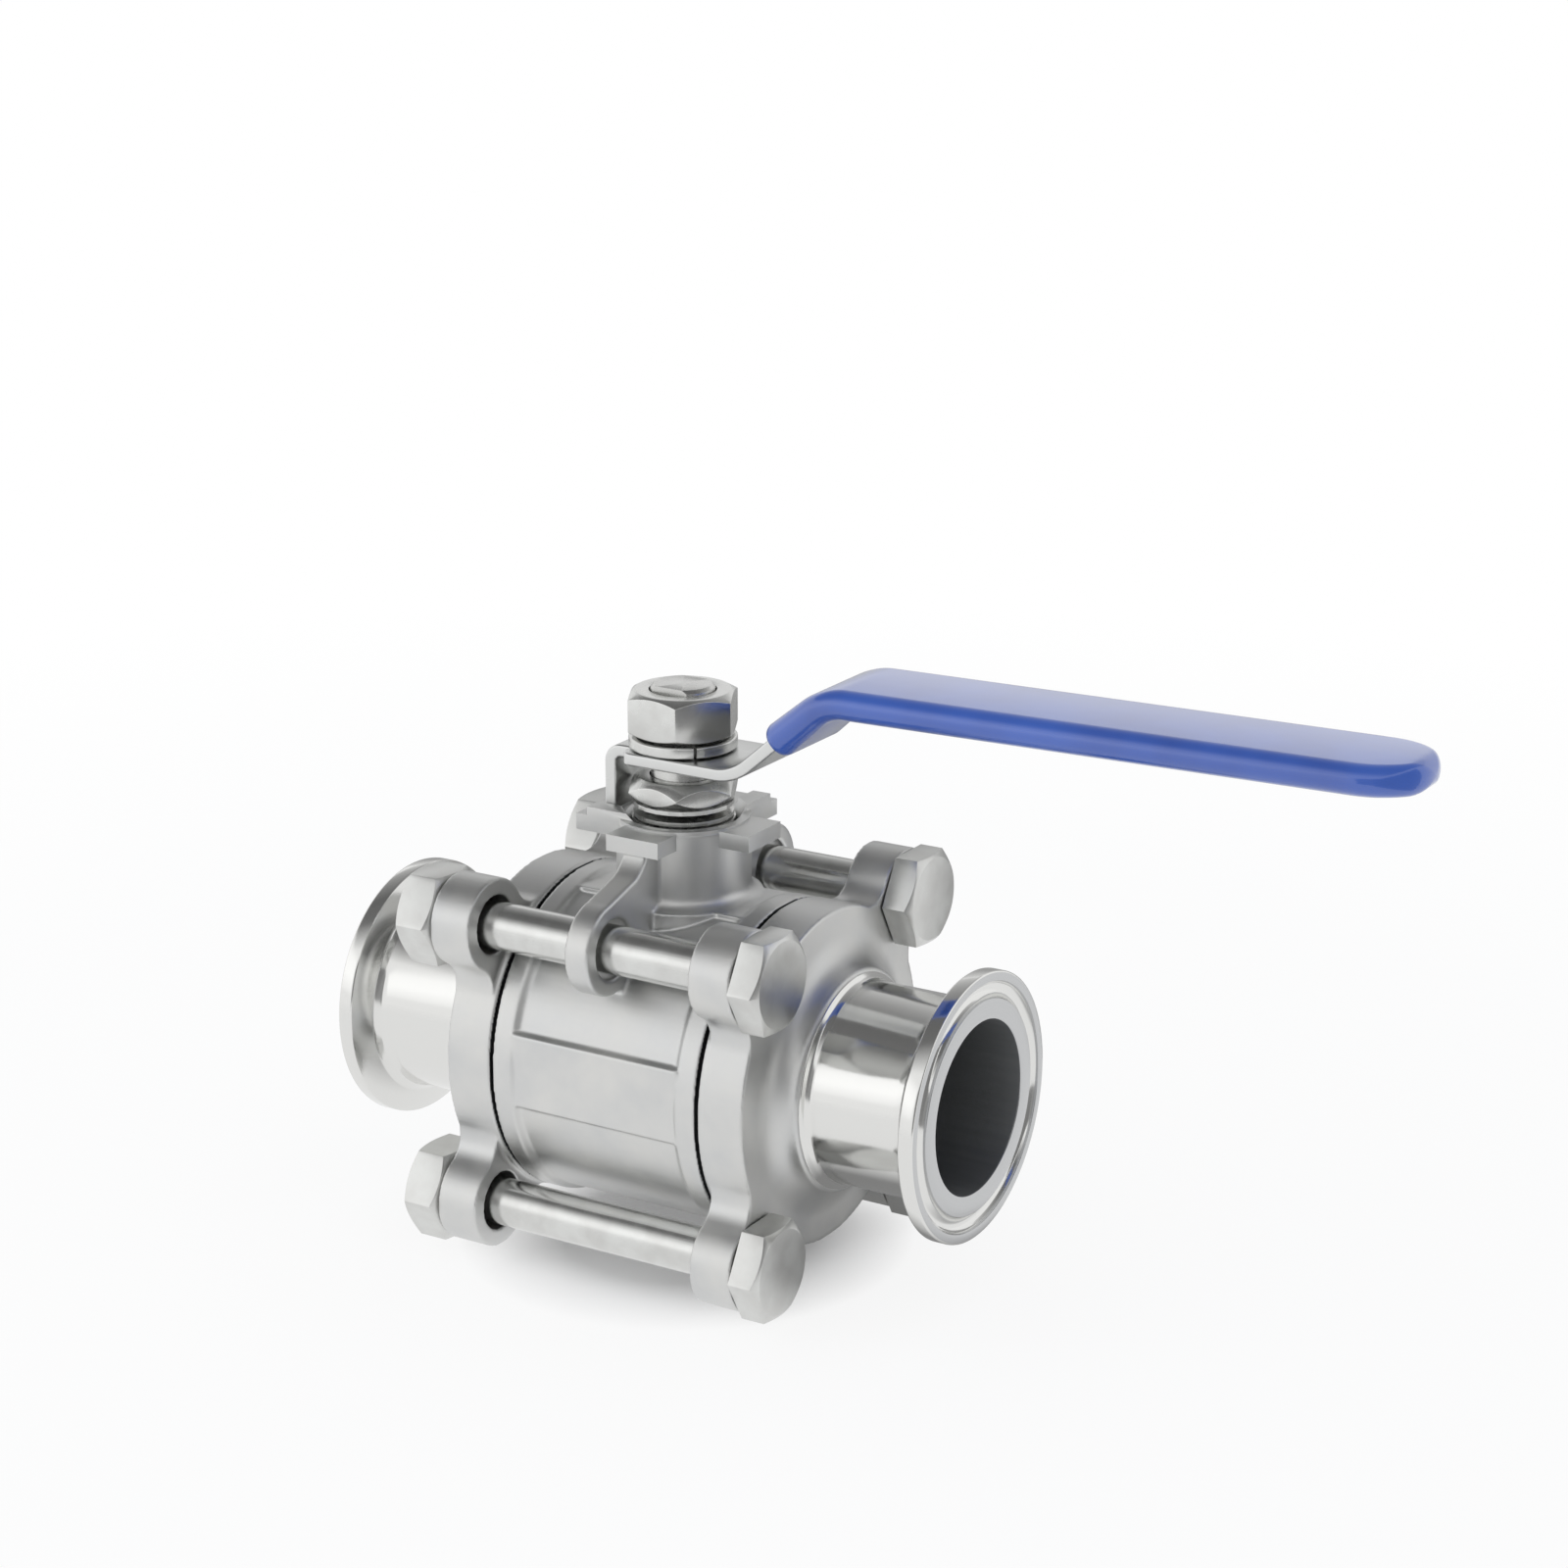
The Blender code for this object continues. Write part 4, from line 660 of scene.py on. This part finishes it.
# A satin sheen, its highlight drawn out along the strip by the grain. The real grain is 0.1 mm wide;
# it is drawn 0.5 mm wide to show.
lever_finish, tree, shader, place = new_finish("satin_stainless_strip", Base_Color=linear("#d8d9d8"),
                                               Metallic=1.0)
stretch = add(tree, "ShaderNodeMapping", {"Vector": place, "Scale": (0.06, 1.0, 1.0)})
strokes = add(tree, "ShaderNodeTexNoise", {"Vector": stretch.outputs["Vector"],
                                           "Scale": 1000 / 0.5, "Detail": 3.0})
dullness = add(tree, "ShaderNodeMapRange", {"Value": strokes.outputs["Fac"], "To Min": 0.24,
                                            "To Max": 0.36})
tree.links.new(dullness.outputs["Result"], shader.inputs["Roughness"])
lines = add(tree, "ShaderNodeBump", {"Height": strokes.outputs["Fac"], "Strength": 0.06,
                                     "Distance": 0.0001})
tree.links.new(lines.outputs["Normal"], shader.inputs["Normal"])

LEVER_LEVEL, LEVER_HALF, LEVER_WIDE, FINGER_WIDE = 57.3, 1.2, 9.5, 5.5
FINGER_X, FINGER_TIP, FINGER_BEND, SHOULDER_X, SHOULDER_ROUND = -12.7, 46.1, 2.4, -7.8, 2.0
RAMP_X, KNEE_X, KNEE_LEVEL, RAMP_BEND, KNEE_BEND = 16.3, 35.4, 74.0, 10.0, 11.0
LEVER_TIP, TIP_LEVEL, GRIP_RISE = 144.0, 75.706, math.radians(0.9)


def rounded_path(corners, radii, step):
    """A path through corners in a plane, its inner corners rounded to the given radii."""
    points = [corners[0]]
    for before, corner, after, radius in zip(corners, corners[1:], corners[2:], radii):
        arriving = math.atan2(corner[1] - before[1], corner[0] - before[0])
        leaving = math.atan2(after[1] - corner[1], after[0] - corner[0])
        turn = (leaving - arriving + math.pi) % (2 * math.pi) - math.pi
        side = math.copysign(1, turn)
        back = radius * math.tan(abs(turn) / 2)
        start = (corner[0] - back * math.cos(arriving), corner[1] - back * math.sin(arriving))
        centre = (start[0] - side * radius * math.sin(arriving),
                  start[1] + side * radius * math.cos(arriving))
        first = math.degrees(arriving) - side * 90
        points += arc(centre, radius, first, first + math.degrees(turn),
                      max(2, round(abs(math.degrees(turn)) / step)))
    points.append(corners[-1])
    return points


def path_normals(path):
    """The unit normal of the path at each of its points."""
    normals = []
    for i in range(len(path)):
        before, after = path[max(i - 1, 0)], path[min(i + 1, len(path) - 1)]
        length = math.dist(before, after)
        normals.append((-(after[1] - before[1]) / length, (after[0] - before[0]) / length))
    return normals


def lofted(name, rings):
    """A closed skin over rings of points, all with the same number of them."""
    work = bmesh.new()
    rows = [[work.verts.new(point) for point in ring] for ring in rings]
    for row, following in zip(rows, rows[1:]):
        for i in range(len(row)):
            after = (i + 1) % len(row)
            work.faces.new((row[i], row[after], following[after], following[i]))
    work.faces.new(rows[0])
    work.faces.new(rows[-1])
    bmesh.ops.recalc_face_normals(work, faces=work.faces)
    mesh = bpy.data.meshes.new(name)
    work.to_mesh(mesh)
    work.free()
    return mesh_object(name, mesh)


lever_path = rounded_path([(FINGER_X, FINGER_TIP), (FINGER_X, LEVER_LEVEL), (RAMP_X, LEVER_LEVEL),
                           (KNEE_X, KNEE_LEVEL), (LEVER_TIP, TIP_LEVEL)],
                          (FINGER_BEND, RAMP_BEND, KNEE_BEND), 3)


def grip_level(x):
    """The height of the lever's middle on its long, slightly rising part."""
    return TIP_LEVEL + (x - LEVER_TIP) * math.tan(GRIP_RISE)


def strip(name, grow=0.0, edge=0.45):
    """The lever's strip: a bar with rounded edges along its path, as wide as its plan says."""
    wide, finger, half = LEVER_WIDE + grow, FINGER_WIDE + grow, LEVER_HALF + grow
    stations = []
    for point, normal in zip(lever_path, path_normals(lever_path)):
        stations.append((point, normal, finger if point[0] < SHOULDER_X else wide))
        if abs(point[0] - FINGER_X - FINGER_BEND) < 0.01 and point[1] > LEVER_LEVEL - 0.01:
            # Where the finger's bend ends, the strip widens by square shoulders with round corners.
            stations.append(((SHOULDER_X, LEVER_LEVEL), (0, 1), finger))
            for i in range(7):
                a = math.radians(15 * i)
                x = SHOULDER_X + 0.001 + SHOULDER_ROUND * (1 - math.cos(a))
                stations.append(((x, LEVER_LEVEL), (0, 1),
                                 wide - SHOULDER_ROUND + SHOULDER_ROUND * math.sin(a)))
    # The path's last point makes way for a half-round tip.
    stations.pop()
    for i in range(12):
        a = math.radians(7.5 * i)
        x = LEVER_TIP - LEVER_WIDE + wide * math.sin(a)
        stations.append(((x, grip_level(x)), (-math.sin(GRIP_RISE), math.cos(GRIP_RISE)),
                         max(wide * math.cos(a), edge + 0.05)))
    rings = []
    for (x, z), (nx, nz), across in stations:
        ring = []
        for sx, sy, start in ((1, 1, 0), (-1, 1, 90), (-1, -1, 180), (1, -1, 270)):
            for y, up in arc((sx * (across - edge), sy * (half - edge)), edge, start, start + 90, 4):
                ring.append((x + nx * up, y, z + nz * up))
        rings.append(ring)
    return lofted(name, rings)


lever = strip("lever_strip")
hole = turned("lever_hole", [(0, 60), (THREAD + CLEAR, 60), (THREAD + CLEAR, 54), (0, 54)], 72,
              along="z")
flats = block("flats", (-8, -STEM_FLAT - CLEAR, 54.5), (8, STEM_FLAT + CLEAR, 59.5))
hole = combined(hole, "INTERSECT", flats)
lever = combined(lever, "DIFFERENCE", hole)
finished(lever, "bent_lever", lever_finish, "lever_group", "lever_steel", "lever", sharp=40)


# ---------------------------------------------------------------------------------------------
# Grip sleeve
# Soft vinyl: the hot lever is dipped in liquid plastisol and cured, so the skin is thick, glossy
# and seamless, a little fuller at its mouth.

# Deep blue under a wet gloss: the coat gives the sharp highlight, the sheen the pale bloom at
# grazing angles, and the long shallow waves are those that the plastisol leaves as it runs and sets.
vinyl_finish, tree, shader, place = new_finish("dipped_blue_vinyl", Roughness=0.36, IOR=1.52,
                                               Coat_Weight=1.0, Coat_Roughness=0.1, Coat_IOR=1.65,
                                               Sheen_Weight=0.25, Sheen_Roughness=0.35)
clouds = add(tree, "ShaderNodeTexNoise", {"Vector": place, "Scale": 1000 / 14, "Detail": 2.0})
tone = add(tree, "ShaderNodeValToRGB", {"Fac": clouds.outputs["Fac"]})
set_stops(tone.color_ramp, (0.3, linear("#1b4aa6")), (0.7, linear("#2457b8")))
tree.links.new(tone.outputs["Color"], shader.inputs["Base Color"])
waves = add(tree, "ShaderNodeTexNoise", {"Vector": place, "Scale": 1000 / 6, "Detail": 1.0})
skin = add(tree, "ShaderNodeBump", {"Height": waves.outputs["Fac"], "Strength": 0.1,
                                    "Distance": 0.0004})
tree.links.new(skin.outputs["Normal"], shader.inputs["Normal"])

WALL, SWELL, LIP, LIP_LONG, SLEEVE_X = 1.6, 0.5, 1.0, 1.6, 25.0
slope = math.atan2(KNEE_LEVEL - LEVER_LEVEL, KNEE_X - RAMP_X)


def stadium(half_width, half_height):
    """The sleeve's section: flat above and below, and half-round at both sides."""
    flat = max(half_width - half_height, 0)
    return [*arc((flat, 0), half_height, -90, 90, 14), *arc((-flat, 0), half_height, 90, 270, 14)]


wide, high = LEVER_WIDE + WALL, LEVER_HALF + WALL
start = (SLEEVE_X, LEVER_LEVEL + (SLEEVE_X - RAMP_X) * math.tan(slope))
stations = []
for i in range(7):
    a = math.radians(15 * i)
    inset, along = LIP * (1 - math.sin(a)), LIP_LONG * (1 - math.cos(a))
    stations.append(((start[0] + along * math.cos(slope), start[1] + along * math.sin(slope)),
                     (-math.sin(slope), math.cos(slope)), wide - inset, high + SWELL - inset))
for point, normal in list(zip(lever_path, path_normals(lever_path)))[:-1]:
    if point[0] > stations[-1][0][0] + 0.3:
        left = max(0.0, (KNEE_X - point[0]) / (KNEE_X - SLEEVE_X))
        stations.append((point, normal, wide, high + SWELL * left))
for i in range(23):
    a = math.radians(4 * i)
    past = wide * math.sin(a)
    x = LEVER_TIP - LEVER_WIDE + past
    rounding = max(0.0, past - wide + high)
    stations.append(((x, grip_level(x)), (-math.sin(GRIP_RISE), math.cos(GRIP_RISE)),
                     wide * math.cos(a), math.sqrt(high ** 2 - rounding ** 2)))
sleeve = lofted("sleeve", [[(x + nx * up, y, z + nz * up) for y, up in stadium(w, h)]
                           for (x, z), (nx, nz), w, h in stations])
sleeve = combined(sleeve, "DIFFERENCE", strip("sleeve_pocket", CLEAR, 0.6))
finished(sleeve, "dipped_sleeve", vinyl_finish, "lever_group", "blue_vinyl", "grip_sleeve", sharp=50)


# ---------------------------------------------------------------------------------------------
# Split washer and lever nut
# A split washer, coiled from stainless wire, and a cold-formed M12 nut. Screwed down on the stem,
# they hold the lever on its flats, and the washer's spring keeps the nut from working loose.
WASHER, WASHER_FOOT, WASHER_TOP, SLIT_HALF = 10.1, 58.8, 60.9, 0.3
washer = turned("washer", softened([
    (WASHER, WASHER_TOP), (WASHER, WASHER_FOOT), (THREAD + CLEAR, WASHER_FOOT),
    (THREAD + CLEAR, WASHER_TOP)], 0.35), 96, "z", True)
slit = block("slit", (-SLIT_HALF, -14, 58), (SLIT_HALF, 0, 62))
slit.data.transform(Matrix.Rotation(math.radians(45), 4, "Z"))
washer = combined(washer, "DIFFERENCE", slit)
finished(washer, "split_washer", bolt_finish, "lever_group", "fastener_steel",
         "lever_spring_washer", sharp=35)

LEVER_NUT_FOOT, LEVER_NUT_TOP = 61.2, 69.6
lever_nut = hexagon("nut", NUT_FLATS, LEVER_NUT_FOOT, LEVER_NUT_TOP, turn=NUT_TURN)
lever_nut = eased(bored(lever_nut, THREAD + CLEAR, 55, 75), 0.12)
finished(lever_nut, "m12_lever_nut", bolt_finish, "lever_group", "fastener_steel", "lever_nut",
         sharp=30)


# ---------------------------------------------------------------------------------------------
# Ground, light and camera
# A white ground that keeps the valve's soft shadow and fades into the white surround, a large soft
# lamp at the front left, and white and grey boards that only reflections see, as in a studio.

def straight_look(tree, seen):
    """1 for rays from the camera, a reflection or through something clear, 0 for all other light."""
    look = add(tree, "ShaderNodeMath", {0: seen.outputs["Is Camera Ray"],
                                        1: seen.outputs["Is Glossy Ray"]}, operation="MAXIMUM")
    return add(tree, "ShaderNodeMath", {0: look.outputs[0], 1: seen.outputs["Is Transmission Ray"]},
               operation="MAXIMUM").outputs[0]


# White paper: matt where the valve shades it, mixed with a plain white glow where it is looked at,
# and clear towards its rim, so that no edge of it shows.
GROUND_LEVEL, GROUND_RADIUS, FADE_START, FADE_END = -0.0388, 0.55, 0.22, 0.5
ground_finish = bpy.data.materials.new("white_ground")
ground_finish.use_nodes = True
tree = ground_finish.node_tree
tree.nodes.clear()
place = add(tree, "ShaderNodeTexCoord").outputs["Object"]
away = add(tree, "ShaderNodeVectorMath", {0: place}, operation="LENGTH")
fade = add(tree, "ShaderNodeMapRange", {"Value": away.outputs["Value"], "From Min": FADE_START,
                                        "From Max": FADE_END})
matt = add(tree, "ShaderNodeBsdfDiffuse", {"Color": linear("#f8f8f8")})
seen = add(tree, "ShaderNodeLightPath")
look = straight_look(tree, seen)
# The lamp is at the front left, so what the metal mirrors of the ground is darkest under the valve and
# a little behind it: a painted shadow in the ground's glow, which only reflections see.
behind = add(tree, "ShaderNodeMapping", {"Vector": place, "Location": (-0.012, -0.015, 0),
                                         "Scale": (0.6, 1, 1)})
behind = add(tree, "ShaderNodeVectorMath", {0: behind.outputs["Vector"]}, operation="LENGTH")
mirrored = add(tree, "ShaderNodeMapRange", {"Value": behind.outputs["Value"], "From Min": 0.026,
                                            "From Max": 0.042, "To Min": 0.25, "To Max": 0.95})
bright = add(tree, "ShaderNodeMix", {"Factor": seen.outputs["Is Glossy Ray"], "A": 1.0,
                                     "B": mirrored.outputs["Result"]})
glow = add(tree, "ShaderNodeEmission", {"Color": (1, 1, 1, 1), "Strength": bright.outputs["Result"]})
# Right under the valve the glow gives way, so that the shadow on the paper stays dark.
share = add(tree, "ShaderNodeMapRange", {"Value": away.outputs["Value"], "From Min": 0.024,
                                         "From Max": 0.044, "To Min": 0.1, "To Max": 0.85})
share = add(tree, "ShaderNodeMix", {"Factor": seen.outputs["Is Glossy Ray"],
                                    "A": share.outputs["Result"], "B": 0.9})
share = add(tree, "ShaderNodeMath", {0: look, 1: share.outputs["Result"]}, operation="MULTIPLY")
lit = add(tree, "ShaderNodeMixShader", {0: share.outputs[0], 1: matt.outputs[0], 2: glow.outputs[0]})
clear = add(tree, "ShaderNodeBsdfTransparent")
mixed = add(tree, "ShaderNodeMixShader", {0: fade.outputs[0], 1: lit.outputs[0],
                                          2: clear.outputs[0]})
add(tree, "ShaderNodeOutputMaterial", {"Surface": mixed.outputs[0]})
bpy.ops.mesh.primitive_circle_add(vertices=96, radius=GROUND_RADIUS, fill_type="NGON",
                                  location=(0, 0, GROUND_LEVEL))
ground = bpy.context.object
ground.name = "ground"
ground.data.materials.append(ground_finish)

# The surround is pure white to look at, and lights the valve a little cooler and weaker.
world = bpy.data.worlds.new("white_surround")
bpy.context.scene.world = world
world.use_nodes = True
tree = world.node_tree
tree.nodes.clear()
look = straight_look(tree, add(tree, "ShaderNodeLightPath"))
soft = add(tree, "ShaderNodeBackground", {"Color": (0.94, 0.95, 0.97, 1), "Strength": 0.9})
white = add(tree, "ShaderNodeBackground", {"Color": (1, 1, 1, 1), "Strength": 1.0})
mixed = add(tree, "ShaderNodeMixShader", {0: look, 1: soft.outputs[0], 2: white.outputs[0]})
add(tree, "ShaderNodeOutputWorld", {"Surface": mixed.outputs[0]})


def lamp(name, place, aim, size, power):
    """A soft lamp that reflections don't see, as a board in its place gives them its shape."""
    data = bpy.data.lights.new(name, "AREA")
    data.shape = "RECTANGLE"
    data.size, data.size_y = size
    data.energy = power
    made = mesh_object(name, data)
    made.location = place
    made.rotation_euler = (Vector(aim) - Vector(place)).to_track_quat("-Z", "Y").to_euler()
    made.visible_glossy = False


def board(name, place, aim, size, *greys):
    """A board that only reflections see, painted from foot to head by its (place, grey) pairs."""
    data = bpy.data.meshes.new(name)
    w, h = size[0] / 2, size[1] / 2
    data.from_pydata([(-w, -h, 0), (w, -h, 0), (w, h, 0), (-w, h, 0)], [], [(0, 1, 2, 3)])
    made = mesh_object(name, data)
    made.location = place
    made.rotation_euler = (Vector(aim) - Vector(place)).to_track_quat("-Z", "Y").to_euler()
    paint = bpy.data.materials.new(name + "_paint")
    paint.use_nodes = True
    paint.node_tree.nodes.clear()
    tree = paint.node_tree
    spot = add(tree, "ShaderNodeTexCoord").outputs["Object"]
    spot = add(tree, "ShaderNodeSeparateXYZ", {"Vector": spot})
    climb = add(tree, "ShaderNodeMapRange", {"Value": spot.outputs["Y"], "From Min": -h,
                                             "From Max": h})
    grade = add(tree, "ShaderNodeValToRGB", {"Fac": climb.outputs["Result"]})
    set_stops(grade.color_ramp, *[(at, (grey, grey, grey, 1)) for at, grey in greys])
    shade = add(tree, "ShaderNodeEmission", {"Color": grade.outputs["Color"], "Strength": 1.0})
    add(tree, "ShaderNodeOutputMaterial", {"Surface": shade.outputs[0]})
    data.materials.append(paint)
    made.visible_camera = made.visible_diffuse = False
    made.visible_shadow = made.visible_transmission = False


SOFTBOX = ((-0.72, -0.80, 0.355), (0, 0, 0.02), (1.15, 0.6))
lamp("front_left_lamp", *SOFTBOX, 2.2)
board("front_left_softbox", *SOFTBOX, (0, 1.1), (0.4, 1.3), (0.75, 1.25), (1, 1.0))
board("ceiling_scrim", (-0.05, 0.12, 0.50), (-0.05, 0.12, 0), (1.2, 1.36),
      (0, 0.95), (0.25, 0.18), (0.42, 0.15), (0.6, 0.32), (1, 0.7))
board("back_board", (-0.11, 0.125, 0.028), (-0.11, 0, 0.028), (0.40, 0.132),
      (0, 0.34), (0.6, 0.4), (1, 0.75))
board("right_board", (0.26, -0.12, 0.06), (0, -0.12, 0.06), (0.32, 0.2), (0, 0.28), (1, 0.2))
board("front_right_board", (0.26, -0.42, 0.08), (0, 0, 0.02), (0.38, 0.3), (0, 0.32), (1, 0.32))

# The view that the photograph was taken from: its azimuth, elevation and roll in degrees, its focal
# length in pixels of a picture 1600 wide, and how far the camera stands right, up and back in mm.
AZIMUTH, ELEVATION, ROLL = [math.radians(a) for a in (30.995, 16.925, 0.100)]
FOCAL, PICTURE, SENSOR = 3592.5, 1600, 36
STANDS_RIGHT, STANDS_UP, STANDS_BACK = 18.683, 48.963, 667.025
back = Vector((math.sin(AZIMUTH) * math.cos(ELEVATION), -math.cos(AZIMUTH) * math.cos(ELEVATION),
               math.sin(ELEVATION)))
level = Vector((math.cos(AZIMUTH), math.sin(AZIMUTH), 0))
upright = back.cross(level)
across = math.cos(ROLL) * level + math.sin(ROLL) * upright
upright = math.cos(ROLL) * upright - math.sin(ROLL) * level
lens = bpy.data.cameras.new("camera")
lens.lens, lens.sensor_width = FOCAL / PICTURE * SENSOR, SENSOR
lens.clip_start, lens.clip_end = 0.01, 20
camera = mesh_object("camera", lens)
stand = (STANDS_RIGHT * across + STANDS_UP * upright + STANDS_BACK * back) / 1000
camera.matrix_world = Matrix((
    (across.x, upright.x, back.x, stand.x), (across.y, upright.y, back.y, stand.y),
    (across.z, upright.z, back.z, stand.z), (0, 0, 0, 1)))
bpy.context.scene.camera = camera
bpy.context.scene.view_settings.view_transform = "Standard"
